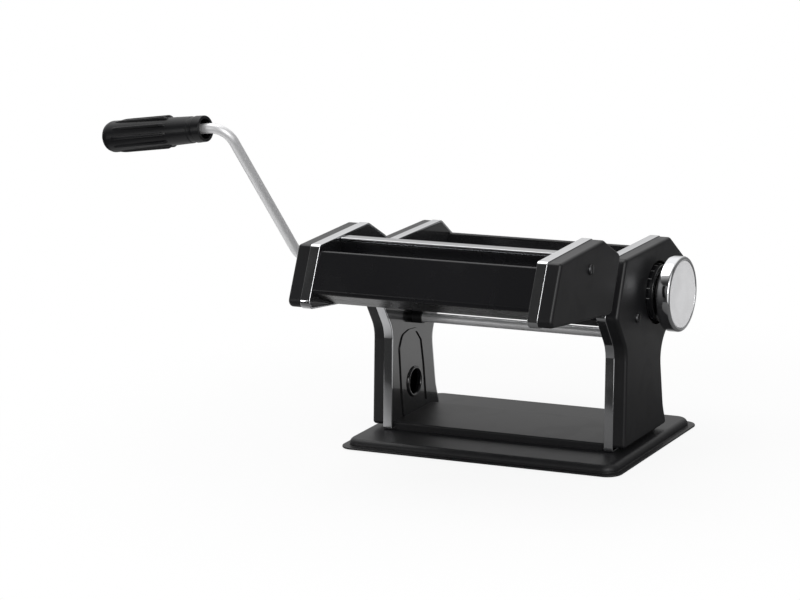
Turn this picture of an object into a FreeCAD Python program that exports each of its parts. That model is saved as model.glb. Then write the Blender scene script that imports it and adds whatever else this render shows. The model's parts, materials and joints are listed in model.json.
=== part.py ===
"""Hand-cranked pasta rolling machine with a lift-off cutter attachment.

Frame: +X is the regulator knob side, -Y the cutter attachment side, +Z up.
The origin is the middle of the base on the table.  Lengths are millimetres.
"""
import FreeCAD, Part
import Sketcher
import math
import os

V = FreeCAD.Vector
doc = FreeCAD.newDocument("PastaMachine")
sheet = doc.addObject("Spreadsheet::Sheet", "Sizes")


# ---------------------------------------------------------------- sizes

class Size:
    """A number together with the spreadsheet expression that gives it."""

    def __init__(self, value, text):
        self.value = float(value)
        self.text = text

    def __add__(self, other):
        return combine(self, other, "+")

    def __radd__(self, other):
        return combine(other, self, "+")

    def __sub__(self, other):
        return combine(self, other, "-")

    def __rsub__(self, other):
        return combine(other, self, "-")

    def __mul__(self, other):
        return combine(self, other, "*")

    def __rmul__(self, other):
        return combine(other, self, "*")

    def __truediv__(self, other):
        return combine(self, other, "/")

    def __neg__(self):
        return combine(0, self, "-")


def as_size(item):
    """Any plain number as a Size."""
    return item if isinstance(item, Size) else Size(item, repr(float(item)))


def combine(left, right, sign):
    """The Size of an arithmetic operation on two sizes or numbers."""
    a = as_size(left)
    b = as_size(right)
    text = "(%s %s %s)" % (a.text, sign, b.text)
    if sign == "+":
        return Size(a.value + b.value, text)
    if sign == "-":
        return Size(a.value - b.value, text)
    if sign == "*":
        return Size(a.value * b.value, text)
    return Size(a.value / b.value, text)


def cosine(angle):
    """Cosine of a Size in degrees."""
    angle = as_size(angle)
    return Size(math.cos(math.radians(angle.value)), "cos(%s)" % angle.text)


def sine(angle):
    """Sine of a Size in degrees."""
    angle = as_size(angle)
    return Size(math.sin(math.radians(angle.value)), "sin(%s)" % angle.text)


sheet_rows = []


def size(alias, value):
    """Write one driving size into the sheet and return it."""
    row = len(sheet_rows) + 1
    sheet_rows.append(alias)
    sheet.set("A%d" % row, alias)
    sheet.set("B%d" % row, str(value))
    sheet.setAlias("B%d" % row, alias)
    return Size(value, "Sizes." + alias)


# main stations across the machine and the driven roller's axis
head_inner = size("head_inner", 79)
drive_y = size("drive_y", -5)
drive_z = size("drive_z", 114)
cover_reach = size("cover_reach", 15)
cover_face = head_inner + cover_reach

# base
base_margin = size("base_margin", 9)
base_width = (cover_face + base_margin) * 2
base_depth = size("base_depth", 145)
base_corner = size("base_corner", 10)
base_sheet = size("base_sheet", 1.2)
base_lip = size("base_lip", 3.8)
base_lift = size("base_lift", 0.8)
base_top = size("base_top", 7)
base_edge = size("base_edge", 4)
bridge_front = size("bridge_front", 34)
bridge_back = size("bridge_back", 25)
bridge_top = size("bridge_top", 12)
bridge_sheet = size("bridge_sheet", 1.4)
bridge_edge = size("bridge_edge", 1.2)
foot_radius = size("foot_radius", 7)
foot_inset_side = size("foot_inset_side", 20)
foot_inset_end = size("foot_inset_end", 18)
foot_edge = size("foot_edge", 1)

# side housings of the rolling head
plate_gauge = size("plate_gauge", 1.5)
trim_wall = size("trim_wall", 1.5)
trim_depth = size("trim_depth", 6.5)
trim_edge = head_inner + trim_depth
trim_fit = size("trim_fit", 0.1)
cover_wall = size("cover_wall", 2)
cover_inset = size("cover_inset", 0.6)
cover_edge = size("cover_edge", 2.2)
cover_foot = size("cover_foot", 2.5)
head_top_front = size("head_top_front", 24)
head_front_top_y = drive_y - head_top_front
head_rise = size("head_rise", 23.5)
head_top = drive_z + head_rise
head_top_back = size("head_top_back", 53)
head_back_top_y = drive_y + head_top_back
head_back_reach = size("head_back_reach", 86)
head_back_y = drive_y + head_back_reach
head_back_drop = size("head_back_drop", 1)
head_back_z = drive_z - head_back_drop
head_heel_reach = size("head_heel_reach", 79)
head_heel_y = drive_y + head_heel_reach
head_heel_drop = size("head_heel_drop", 17)
head_heel_z = drive_z - head_heel_drop
leg_back_y = size("leg_back_y", 27.5)
leg_back_drop = size("leg_back_drop", 48)
leg_back_z = drive_z - leg_back_drop
leg_back_foot = size("leg_back_foot", 36.5)
leg_back_shin_y = size("leg_back_shin_y", 31.5)
leg_back_shin_z = size("leg_back_shin_z", 24)
leg_front_foot = size("leg_front_foot", 38)
leg_front_y = size("leg_front_y", 31.5)
leg_front_drop = size("leg_front_drop", 38)
leg_front_z = drive_z - leg_front_drop
head_nose_reach = size("head_nose_reach", 41)
head_nose_y = drive_y - head_nose_reach
head_nose_drop = size("head_nose_drop", 14)
head_nose_z = drive_z - head_nose_drop
clamp_y = size("clamp_y", -1.5)
clamp_z = size("clamp_z", 33)
clamp_hole = size("clamp_hole", 8.5)
eyelet_wall = size("eyelet_wall", 1.0)
eyelet_rim = size("eyelet_rim", 2.4)
eyelet_lip = size("eyelet_lip", 1.2)
eyelet_tail = size("eyelet_tail", 0.6)
rib_half = size("rib_half", 1.2)
rib_height = size("rib_height", 0.8)
rib_lift = size("rib_lift", 0.3)
tie_y = size("tie_y", 2)
tie_drop = size("tie_drop", 35.6)
tie_z = drive_z - tie_drop
tie_radius = size("tie_radius", 3.25)
tie_collar_radius = size("tie_collar_radius", 4.4)
collar_set = size("collar_set", 11)
collar_back = head_inner + collar_set
collar_length = size("collar_length", 8)
collar_front = collar_back + collar_length
tie_collar_length = size("tie_collar_length", 7)
screw_set = size("screw_set", 7.3)
screw_y = drive_y - screw_set
screw_drop = size("screw_drop", 20)
screw_z = drive_z - screw_drop
screw_head = size("screw_head", 3.15)
screw_rise = size("screw_rise", 1.4)
screw_shank = size("screw_shank", 1.6)
screw_slot = size("screw_slot", 0.9)
stud_set = size("stud_set", 26)
stud_y = drive_y - stud_set
stud_rise = size("stud_rise", 4)
stud_z = drive_z + stud_rise
stud_radius = size("stud_radius", 2.5)
stud_head = size("stud_head", 3.8)
stud_head_length = size("stud_head_length", 1.2)

# rolling head
running_fit = size("running_fit", 0.05)
side_gap = size("side_gap", 0.4)
roller_radius = size("roller_radius", 14.6)
roller_gap = size("roller_gap", 2.5)
gap_travel = size("gap_travel", 2.2)
gap_lean = size("gap_lean", -19.6)
journal_radius = size("journal_radius", 7)
boss_wall = size("boss_wall", 3.5)
boss_right_length = size("boss_right_length", 7)
boss_right = head_inner + boss_right_length
boss_left_length = size("boss_left_length", 2.2)
boss_left = head_inner + boss_left_length
socket_radius = size("socket_radius", 3.6)
socket_depth = size("socket_depth", 31)
key_slot_width = size("key_slot_width", 2.2)
key_slot_reach = size("key_slot_reach", 5)
key_slot_depth = size("key_slot_depth", 9)
gap_journal = size("gap_journal", 6.5)
gap_axle_radius = size("gap_axle_radius", 4)
head_gear_teeth = 14
head_gear_tip = size("head_gear_tip", 16.4)
head_gear_root = size("head_gear_root", 12.6)
head_gear_width = size("head_gear_width", 5)
head_tooth_foot = size("head_tooth_foot", 3.2)
head_tooth_tip = size("head_tooth_tip", 1.0)
gear_set = size("gear_set", 2.6)
gear_start = head_inner + gear_set
press_fit = size("press_fit", 0.02)
block_half = size("block_half", 8)
block_rise = size("block_rise", 9)
block_length = size("block_length", 7.4)
block_end = head_inner + block_length
left_block_half = size("left_block_half", 7)
left_block_set = size("left_block_set", 8.3)
left_block_start = head_inner + left_block_set
slide_fit = size("slide_fit", 0.1)
rail_width = size("rail_width", 2.5)
cam_pin = size("cam_pin", 2.5)
cam_depth = size("cam_depth", 3.4)
cam_play = size("cam_play", 0.35)
wiper_size = size("wiper_size", 4)
wiper_gap = size("wiper_gap", 0.4)

# regulator knob
collar_radius = size("collar_radius", 19.3)
recess_play = size("recess_play", 2.2)
recess_radius = collar_radius + recess_play
dial_shaft_radius = size("dial_shaft_radius", 5)
dial_flat = size("dial_flat", 4)
dial_head = size("dial_head", 7.5)
dial_head_length = size("dial_head_length", 1.5)
dial_head_play = size("dial_head_play", 0.4)
index_radius = size("index_radius", 14)
index_pin = size("index_pin", 2)
index_groove = size("index_groove", 5)
index_play = size("index_play", 0.3)
index_sweep = size("index_sweep", 180)
hub_radius = size("hub_radius", 16)
hub_floor = size("hub_floor", 3)
hub_cavity = size("hub_cavity", 8.5)
knob_radius = size("knob_radius", 25.5)
hub_length = size("hub_length", 4.5)
knob_back = collar_front + hub_length
knob_depth = size("knob_depth", 9.5)
knob_front = knob_back + knob_depth
knob_edge = size("knob_edge", 1.2)
knob_face_radius = size("knob_face_radius", 22.4)
knob_face_depth = size("knob_face_depth", 1.5)
knob_face_set = size("knob_face_set", 0.3)
knob_pull = size("knob_pull", 4.5)

# sheet metal over the rollers
hood_sheet = size("hood_sheet", 1.0)
hood_inset = size("hood_inset", 1.6)
hood_edge_reach = size("hood_edge_reach", 63.5)
hood_edge_y = drive_y + hood_edge_reach
hood_edge_rise = size("hood_edge_rise", 12)
hood_edge_z = drive_z + hood_edge_rise
hood_end_reach = size("hood_end_reach", 53)
hood_end_y = drive_y + hood_end_reach
hood_end_drop = size("hood_end_drop", 32.5)
hood_end_z = drive_z - hood_end_drop
hood_lip_set = size("hood_lip_set", 2)
hood_fold = size("hood_fold", 9)
guard_edge_reach = size("guard_edge_reach", 27)
guard_edge_y = drive_y - guard_edge_reach
guard_edge_rise = size("guard_edge_rise", 12)
guard_edge_z = drive_z + guard_edge_rise
guard_end_reach = size("guard_end_reach", 26)
guard_end_y = drive_y - guard_end_reach
guard_end_drop = size("guard_end_drop", 22)
guard_end_z = drive_z - guard_end_drop
guard_notch_depth = size("guard_notch_depth", 5)
guard_notch_front = size("guard_notch_front", 29)
guard_notch_back = size("guard_notch_back", 16)
guard_notch_floor = size("guard_notch_floor", 7.5)
guard_notch_top = size("guard_notch_top", 30)
guard_lip_set = size("guard_lip_set", 4)
guard_notch = head_inner - guard_notch_depth

# cutter attachment, placed by the studs that carry it
cutter_play = size("cutter_play", 1.5)
cutter_inner = head_inner - cutter_play
cutter_trim_depth = size("cutter_trim_depth", 7)
cutter_trim_edge = cutter_inner + cutter_trim_depth
wide_set = size("wide_set", 57)
wide_y = stud_y - wide_set
wide_rise = size("wide_rise", 12)
wide_z = stud_z + wide_rise
roll_spread = size("roll_spread", 39)
narrow_y = wide_y - roll_spread
narrow_rise = size("narrow_rise", 2)
narrow_z = wide_z + narrow_rise
cutter_toe_reach = size("cutter_toe_reach", 24.5)
cutter_toe_y = narrow_y - cutter_toe_reach
cutter_toe_drop = size("cutter_toe_drop", 15)
cutter_toe_z = narrow_z - cutter_toe_drop
cutter_brow_reach = size("cutter_brow_reach", 4.5)
cutter_brow_y = narrow_y - cutter_brow_reach
cutter_brow_rise = size("cutter_brow_rise", 24)
cutter_brow_z = narrow_z + cutter_brow_rise
cutter_top_reach = size("cutter_top_reach", 25)
cutter_top_y = wide_y + cutter_top_reach
cutter_top_rise = size("cutter_top_rise", 27.5)
cutter_top_z = wide_z + cutter_top_rise
cutter_back_reach = size("cutter_back_reach", 51.6)
cutter_back_y = wide_y + cutter_back_reach
cutter_back_rise = size("cutter_back_rise", 12.6)
cutter_back_z = wide_z + cutter_back_rise
cutter_heel_reach = size("cutter_heel_reach", 34.5)
cutter_heel_y = wide_y + cutter_heel_reach
cutter_heel_drop = size("cutter_heel_drop", 25.2)
cutter_heel_z = wide_z - cutter_heel_drop
cutter_screw_set = size("cutter_screw_set", 1)
cutter_screw_y = wide_y + cutter_screw_set
cutter_screw_rise = size("cutter_screw_rise", 12.6)
cutter_screw_z = wide_z + cutter_screw_rise
front_hood_lip_set = size("front_hood_lip_set", 5)
front_hood_lip_y = cutter_brow_y + front_hood_lip_set
front_hood_lip_drop = size("front_hood_lip_drop", 8)
front_hood_lip_z = cutter_brow_z - front_hood_lip_drop
front_hood_top_set = size("front_hood_top_set", 0.5)
front_hood_top_y = cutter_brow_y + front_hood_top_set
front_hood_top_drop = size("front_hood_top_drop", 3)
front_hood_top_z = cutter_brow_z - front_hood_top_drop
front_hood_fold_set = size("front_hood_fold_set", 4.8)
front_hood_fold_y = cutter_toe_y + front_hood_fold_set
front_hood_fold_rise = size("front_hood_fold_rise", 10)
front_hood_fold_z = cutter_toe_z + front_hood_fold_rise
front_hood_end_set = size("front_hood_end_set", 37.5)
front_hood_end_y = cutter_toe_y + front_hood_end_set
front_hood_end_drop = size("front_hood_end_drop", 4)
front_hood_end_z = cutter_toe_z - front_hood_end_drop
rear_hood_top_set = size("rear_hood_top_set", 4.3)
rear_hood_top_y = cutter_back_y - rear_hood_top_set
rear_hood_top_drop = size("rear_hood_top_drop", 4.6)
rear_hood_top_z = cutter_back_z - rear_hood_top_drop
rear_hood_lip_set = size("rear_hood_lip_set", 16.5)
rear_hood_lip_drop = size("rear_hood_lip_drop", 4.5)
rear_hood_end_set = size("rear_hood_end_set", 10.5)
rear_hood_end_y = cutter_heel_y - rear_hood_end_set
rear_hood_end_rise = size("rear_hood_end_rise", 6.2)
rear_hood_end_z = cutter_heel_z + rear_hood_end_rise
rear_hood_knee_set = size("rear_hood_knee_set", 0.3)
rear_hood_knee_rise = size("rear_hood_knee_rise", 4)
cutter_gauge = size("cutter_gauge", 1.2)
cutter_screw_head = size("cutter_screw_head", 3.5)
strip_edge = size("strip_edge", 0.8)
cut_disc = size("cut_disc", 10)
cut_core = size("cut_core", 7)
cut_spacing = size("cut_spacing", 18)
strip_set = size("strip_set", 5)
strip_front = narrow_y + cut_spacing + strip_set
strip_width = size("strip_width", 9)
strip_back = strip_front + strip_width
strip_rise = size("strip_rise", 21)
strip_low = narrow_z + strip_rise
strip_gauge = size("strip_gauge", 2.5)
strip_high = strip_low + strip_gauge
guide_set = size("guide_set", 0.6)
guide_drop = size("guide_drop", 10.2)
guide_low = strip_low - guide_drop
guide_sheet = size("guide_sheet", 0.8)
narrow_disc = size("narrow_disc", 1.6)
narrow_count = 38
narrow_margin = size("narrow_margin", 3)
narrow_pitch = (cutter_inner * 2 - narrow_margin) / narrow_count
wide_disc = size("wide_disc", 6.1)
wide_count = 11
wide_margin = size("wide_margin", 12)
wide_pitch = (cutter_inner * 2 - wide_margin) / wide_count
cut_journal = size("cut_journal", 4)
cut_drive_journal = size("cut_drive_journal", 6)
cut_boss_wall = size("cut_boss_wall", 2.2)
cut_boss_length = size("cut_boss_length", 2.9)
cut_boss_end = cutter_inner + cut_boss_length
cut_gear_teeth = 12
cut_gear_tip = size("cut_gear_tip", 10.2)
cut_gear_root = size("cut_gear_root", 7.3)
cut_gear_width = size("cut_gear_width", 4)
cut_tooth_foot = size("cut_tooth_foot", 2.5)
cut_tooth_tip = size("cut_tooth_tip", 0.8)
cut_gear_set = size("cut_gear_set", 3.5)
cut_gear_start = cutter_inner + cut_gear_set
comb_bar = size("comb_bar", 2.2)
comb_rise = size("comb_rise", 2.8)
comb_play = size("comb_play", 0.4)
comb_drop = size("comb_drop", 7)
hook_gauge = size("hook_gauge", 1.2)
hook_nose = size("hook_nose", 5)
hook_tip_y = stud_y + hook_nose
hook_tail = size("hook_tail", 24)
hook_root_y = stud_y - hook_tail
hook_drop = size("hook_drop", 6)
hook_low = stud_z - hook_drop
hook_rise = size("hook_rise", 10)
hook_high = stud_z + hook_rise
hook_play = size("hook_play", 0.3)

# crank
crank_radius = size("crank_radius", 3.5)
crank_key_play = size("crank_key_play", 0.3)
crank_stand = size("crank_stand", 69)
crank_reach = cover_face + crank_stand
crank_lean = size("crank_lean", 17)
crank_arm = size("crank_arm", 124.2)
crank_bend = size("crank_bend", 13)
crank_angle = size("crank_angle", 122.7)
grip_start = size("grip_start", 16.4)
grip_length = size("grip_length", 84)
grip_tail = size("grip_tail", 3.32)
grip_tilt = size("grip_tilt", 9.3)
crank_grip_reach = (grip_start + grip_length + grip_tail) * cosine(grip_tilt)
crank_grip_drop = (grip_start + grip_length + grip_tail) * sine(grip_tilt)
grip_mouth = size("grip_mouth", 9)
grip_wall = size("grip_wall", 2)
grip_recess = size("grip_recess", 8)
grip_end = size("grip_end", 11)
grip_rib_top = size("grip_rib_top", 11.7)
grip_rib_width = size("grip_rib_width", 2.4)
grip_rib_start = size("grip_rib_start", 28)
grip_rib_count = 10
rivet_radius = size("rivet_radius", 4.5)
rivet_length = size("rivet_length", 1.6)

doc.recompute()


# ---------------------------------------------------------------- helpers

node_objects = []


def node(obj, label):
    """Give a finished sub-part its own label and keep it for export."""
    obj.Label = label
    node_objects.append(obj)
    return obj


def bind(obj, prop, item):
    """Tie one property to the sheet."""
    item = as_size(item)
    obj.setExpression(prop, item.text)


def place(obj, x=None, y=None, z=None):
    """Tie the placement's base to the sheet."""
    for axis, item in (("x", x), ("y", y), ("z", z)):
        if item is not None:
            bind(obj, "Placement.Base." + axis, item)


def turn_x(obj, angle):
    """Turn an object about its own X axis."""
    obj.Placement = FreeCAD.Placement(V(0, 0, 0), FreeCAD.Rotation(V(1, 0, 0), as_size(angle).value))


def box(name, x0, x1, y0, y1, z0, z1):
    """An upright box between six planes."""
    obj = doc.addObject("Part::Box", name)
    bind(obj, "Length", x1 - x0)
    bind(obj, "Width", y1 - y0)
    bind(obj, "Height", z1 - z0)
    place(obj, x0, y0, z0)
    return obj


def leaning_box(name, x0, x1, half_u, half_v, y, z, angle):
    """A box along X, centred on (y, z), turned about X by an angle."""
    obj = doc.addObject("Part::Box", name)
    bind(obj, "Length", x1 - x0)
    bind(obj, "Width", half_u * 2)
    bind(obj, "Height", half_v * 2)
    turn_x(obj, angle)
    place(obj, x0,
          y - half_u * cosine(angle) + half_v * sine(angle),
          z - half_u * sine(angle) - half_v * cosine(angle))
    return obj


def rod(name, radius, x0, x1, y, z, sweep=None, start=0):
    """A cylinder along X from x0 to x1."""
    obj = doc.addObject("Part::Cylinder", name)
    obj.Placement = FreeCAD.Placement(V(0, 0, 0), FreeCAD.Rotation(V(0, 1, 0), 90))
    bind(obj, "Radius", radius)
    bind(obj, "Height", x1 - x0)
    if sweep is not None:
        bind(obj, "Angle", sweep)
        spin = FreeCAD.Rotation(V(1, 0, 0), as_size(start).value)
        zero = FreeCAD.Rotation(V(0, 1, 0), V(0, 0, 1), V(1, 0, 0), "XYZ")
        obj.Placement = FreeCAD.Placement(V(0, 0, 0), spin.multiply(zero))
    place(obj, x0, y, z)
    return obj


def fuse(name, *parts):
    """One solid from several."""
    obj = doc.addObject("Part::MultiFuse", name)
    obj.Shapes = list(parts)
    obj.Refine = True
    return obj


def cut(name, base, *tools):
    """The base without its tools."""
    obj = doc.addObject("Part::Cut", name)
    obj.Base = base
    obj.Tool = tools[0] if len(tools) == 1 else fuse(name + "Tools", *tools)
    return obj


def mirror(name, source):
    """The same piece on the other side of the machine."""
    obj = doc.addObject("Part::Mirroring", name)
    obj.Source = source
    obj.Normal = V(1, 0, 0)
    return obj


def side_frame(x):
    """Placement whose local x is +Y, local y is +Z and normal is +X."""
    return FreeCAD.Placement(V(x, 0, 0), FreeCAD.Rotation(V(0, 1, 0), V(0, 0, 1), V(1, 0, 0), "XYZ"))


def pin_point(sketch, geometry, point, u, v):
    """Fix a sketch point at (u, v) from the sketch's origin."""
    for kind, item in (("DistanceX", u), ("DistanceY", v)):
        item = as_size(item)
        rule = Sketcher.Constraint(kind, -1, 1, geometry, point, item.value)
        index = sketch.addConstraint(rule)
        sketch.setExpression("Constraints[%d]" % index, item.text)


def fill_path(sketch, corners, closed=True):
    """Draw a path with rounded corners (u, v, radius) into a sketch."""
    count = len(corners)
    points = [V(as_size(c[0]).value, as_size(c[1]).value, 0) for c in corners]
    entries = []
    exits = []
    for i in range(count):
        radius = as_size(corners[i][2]).value
        inner = closed or 0 < i < count - 1
        if not inner or radius == 0:
            entries.append(points[i])
            exits.append(points[i])
            continue
        before = (points[i - 1] - points[i]).normalize()
        after = (points[(i + 1) % count] - points[i]).normalize()
        half = math.acos(before.dot(after)) / 2
        reach = radius / math.tan(half)
        entries.append(points[i] + before * reach)
        exits.append(points[i] + after * reach)
    lines = []
    for i in range(count if closed else count - 1):
        lines.append(sketch.addGeometry(Part.LineSegment(exits[i], entries[(i + 1) % count]), False))
    for i in range(count):
        radius = as_size(corners[i][2])
        inner = closed or 0 < i < count - 1
        if not inner:
            line = lines[0] if i == 0 else lines[-1]
            pin_point(sketch, line, 1 if i == 0 else 2, corners[i][0], corners[i][1])
            continue
        into = lines[i - 1]
        out = lines[i]
        if radius.value == 0:
            sketch.addConstraint(Sketcher.Constraint("Coincident", into, 2, out, 1))
            pin_point(sketch, out, 1, corners[i][0], corners[i][1])
            continue
        add_corner(sketch, points, i, into, out, entries[i], exits[i], corners[i], radius)
    return sketch


def add_corner(sketch, points, i, into, out, start, end, corner, radius):
    """Add one tangent corner arc between two lines of a path."""
    before = (start - points[i]).normalize()
    after = (end - points[i]).normalize()
    half = math.acos(before.dot(after)) / 2
    centre = points[i] + (before + after).normalize() * (radius.value / math.sin(half))
    a0 = math.atan2(start.y - centre.y, start.x - centre.x)
    a1 = math.atan2(end.y - centre.y, end.x - centre.x)
    forward = (a1 - a0) % (2 * math.pi) < math.pi
    if not forward:
        a0, a1 = a1, a0
    if a1 < a0:
        a1 += 2 * math.pi
    circle = Part.Circle(centre, V(0, 0, 1), radius.value)
    arc = sketch.addGeometry(Part.ArcOfCircle(circle, a0, a1), False)
    mark = sketch.addGeometry(Part.Point(points[i]), True)
    sketch.addConstraint(Sketcher.Constraint("Tangent", into, 2, arc, 1 if forward else 2))
    sketch.addConstraint(Sketcher.Constraint("Tangent", out, 1, arc, 2 if forward else 1))
    index = sketch.addConstraint(Sketcher.Constraint("Radius", arc, radius.value))
    sketch.setExpression("Constraints[%d]" % index, radius.text)
    sketch.addConstraint(Sketcher.Constraint("PointOnObject", mark, 1, into))
    sketch.addConstraint(Sketcher.Constraint("PointOnObject", mark, 1, out))
    pin_point(sketch, mark, 1, corner[0], corner[1])


def side_path(name, corners, closed=True):
    """A path in the Y-Z plane."""
    sketch = doc.addObject("Sketcher::SketchObject", name)
    sketch.Placement = side_frame(0)
    return fill_path(sketch, corners, closed)


def inset(name, path, amount, fill=False):
    """A copy of a closed path moved inwards, or the ring between both."""
    obj = doc.addObject("Part::Offset2D", name)
    obj.Source = path
    obj.Fill = fill
    bind(obj, "Value", -as_size(amount))
    return obj


def prism(name, profile, x0, x1):
    """A side profile pushed along X from x0 to x1."""
    obj = doc.addObject("Part::Extrusion", name)
    obj.Base = profile
    obj.DirMode = "Custom"
    obj.Dir = V(1, 0, 0)
    obj.Solid = True
    bind(obj, "LengthFwd", x1 - x0)
    place(obj, x0)
    return obj


def bent_sheet(name, corners, half_width, gauge):
    """A folded sheet that follows an open side path across the machine."""
    path = side_path(name + "Path", corners, closed=False)
    strip = doc.addObject("Part::Offset2D", name + "Strip")
    strip.Source = path
    strip.Mode = "Skin"
    strip.Fill = True
    bind(strip, "Value", gauge)
    return prism(name, strip, -as_size(half_width), as_size(half_width))


def round_edges(name, base, radius, test):
    """Fillet the edges of a solid that pass a test."""
    doc.recompute()
    chosen = [i + 1 for i, edge in enumerate(base.Shape.Edges) if test(edge)]
    obj = doc.addObject("Part::Fillet", name)
    obj.Base = base
    obj.Edges = [(i, as_size(radius).value, as_size(radius).value) for i in chosen]
    return obj


def at_plane(axis, position):
    """A test for edges that lie in one plane."""
    value = as_size(position).value

    def test(edge):
        low = getattr(edge.BoundBox, axis + "Min")
        high = getattr(edge.BoundBox, axis + "Max")
        return abs(low - value) < 0.01 and abs(high - value) < 0.01
    return test


def origin_of(body, role):
    """One plane or axis of a body's own origin."""
    return [item for item in body.Origin.OriginFeatures if item.Role == role][0]


def attach(body, name, role, lift=0):
    """A sketch on one of a body's origin planes, lifted along its normal."""
    sketch = body.newObject("Sketcher::SketchObject", name)
    sketch.AttachmentSupport = (origin_of(body, role), [""])
    sketch.MapMode = "FlatFace"
    bind(sketch, "AttachmentOffset.Base.z", lift)
    return sketch


def add_circle(sketch, radius):
    """A circle round the sketch's origin."""
    radius = as_size(radius)
    ring = sketch.addGeometry(Part.Circle(V(0, 0, 0), V(0, 0, 1), radius.value), False)
    sketch.addConstraint(Sketcher.Constraint("Coincident", ring, 3, -1, 1))
    index = sketch.addConstraint(Sketcher.Constraint("Radius", ring, radius.value))
    sketch.setExpression("Constraints[%d]" % index, radius.text)


def pad(body, name, sketch, length):
    """Pad a sketch of a body."""
    obj = body.newObject("PartDesign::Pad", name)
    obj.Profile = sketch
    bind(obj, "Length", length)
    doc.recompute()
    return obj


def pad_disc(body, name, radius, x0, x1):
    """A round pad along the body's X axis."""
    sketch = attach(body, name + "Sketch", "YZ_Plane", x0)
    add_circle(sketch, radius)
    return pad(body, name, sketch, x1 - x0)


def pocket(body, name, sketch, length):
    """Pocket along the sketch's normal, checked to remove material."""
    before = body.Tip.Shape.Volume
    obj = body.newObject("PartDesign::Pocket", name)
    obj.Profile = sketch
    obj.Reversed = True
    bind(obj, "Length", length)
    doc.recompute()
    if obj.Shape.Volume > before - 1e-3:
        raise RuntimeError("pocket %s cuts nothing" % name)
    return obj


def pocket_disc(body, name, radius, x0, x1):
    """A round pocket along the body's X axis."""
    sketch = attach(body, name + "Sketch", "YZ_Plane", x0)
    add_circle(sketch, radius)
    return pocket(body, name, sketch, x1 - x0)


def soften(body, name, radius, test):
    """Fillet the edges of a body that pass a test."""
    feature = body.Tip
    names = ["Edge%d" % (i + 1) for i, edge in enumerate(feature.Shape.Edges) if test(edge)]
    obj = body.newObject("PartDesign::Fillet", name)
    obj.Base = (feature, names)
    bind(obj, "Radius", radius)
    body.Tip = obj
    doc.recompute()
    return obj


def repeat_round(body, feature, count, axis="X_Axis"):
    """Repeat a feature round one axis of the body."""
    obj = body.newObject("PartDesign::PolarPattern", feature.Name + "Ring")
    obj.Originals = [feature]
    obj.Axis = (origin_of(body, axis), [""])
    obj.Angle = 360
    obj.Occurrences = count
    body.Tip = obj
    doc.recompute()
    return obj


def repeat_along(body, feature, pitch, count):
    """Repeat a feature along the body's X axis."""
    obj = body.newObject("PartDesign::LinearPattern", feature.Name + "Row")
    obj.Originals = [feature]
    obj.Direction = (origin_of(body, "X_Axis"), [""])
    bind(obj, "Length", as_size(pitch) * (count - 1))
    obj.Occurrences = count
    body.Tip = obj
    doc.recompute()
    return obj


def rectangle(sketch, half_u, half_v, radius):
    """A centred rectangle with rounded corners."""
    fill_path(sketch, [(-half_u, -half_v, radius), (half_u, -half_v, radius),
                       (half_u, half_v, radius), (-half_u, half_v, radius)])


# ---------------------------------------------------------------- base

def make_base_pan():
    """The pressed base: a lip round a shallow tray turned upside down."""
    body = doc.addObject("PartDesign::Body", "BasePan")
    lip = attach(body, "LipSketch", "XY_Plane", base_lift)
    rectangle(lip, base_width / 2, base_depth / 2, base_corner)
    pad(body, "Lip", lip, base_sheet)
    drum = attach(body, "DrumSketch", "XY_Plane", base_lift)
    rectangle(drum, base_width / 2 - base_lip, base_depth / 2 - base_lip, base_corner)
    pad(body, "Drum", drum, base_top - base_lift)
    soften(body, "DrumEdge", base_edge, at_plane("Z", base_top))
    inside = base_lip + base_sheet
    hollow = attach(body, "HollowSketch", "XY_Plane", base_lift)
    rectangle(hollow, base_width / 2 - inside, base_depth / 2 - inside, base_corner - base_sheet)
    pocket(body, "Hollow", hollow, base_top - base_lift - base_sheet)
    return node(body, "base_pan")


def make_base_bridge():
    """The raised channel that ties both legs together on the deck."""
    outer = box("BridgeOuter", -head_inner, head_inner, -bridge_front, bridge_back, base_top, bridge_top)
    edges = round_edges("BridgeEdges", outer, bridge_edge,
                        lambda e: at_plane("Z", bridge_top)(e) and e.BoundBox.XLength > 1)
    inner = box("BridgeInner", -head_inner, head_inner, -bridge_front + bridge_sheet,
                bridge_back - bridge_sheet, base_top, bridge_top - bridge_sheet)
    return node(cut("Bridge", edges, inner), "base_bridge")


def make_feet():
    """Four rubber feet inside the base."""
    for end, sign_y in (("front", -1), ("back", 1)):
        for side, sign_x in (("left", -1), ("right", 1)):
            foot = doc.addObject("Part::Cylinder", "Foot" + end + side)
            bind(foot, "Radius", foot_radius)
            bind(foot, "Height", base_top - base_sheet)
            place(foot, sign_x * (base_width / 2 - foot_inset_side), sign_y * (base_depth / 2 - foot_inset_end))
            rounded = round_edges("FootEdge" + end + side, foot, foot_edge, at_plane("Z", 0))
            node(rounded, "foot_%s_%s" % (end, side))


# ---------------------------------------------------------------- side housings

def head_corners(low, foot_round):
    """The corners of the rolling head's side view, from the front top round to the nose."""
    return [(head_front_top_y, head_top, 5), (head_back_top_y, head_top, 6),
            (head_back_y, head_back_z, 5), (head_heel_y, head_heel_z, 8),
            (leg_back_y, leg_back_z, 22), (leg_back_shin_y, leg_back_shin_z, 30),
            (leg_back_foot, low, foot_round), (-leg_front_foot, low, foot_round),
            (-leg_front_y, leg_front_z, 20), (head_nose_y, head_nose_z, 4)]


def cutter_corners():
    """The corners of the cutter attachment's side view."""
    return [(cutter_toe_y, cutter_toe_z, 5), (cutter_brow_y, cutter_brow_z, 3),
            (cutter_top_y, cutter_top_z, 4), (cutter_back_y, cutter_back_z, 5),
            (cutter_heel_y, cutter_heel_z, 6)]


head_path = side_path("HeadOutline", head_corners(base_top, 2))
cover_path = side_path("HeadCoverOutline", head_corners(base_top + cover_foot, 3))
cutter_path = side_path("CutterOutline", cutter_corners())

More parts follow.
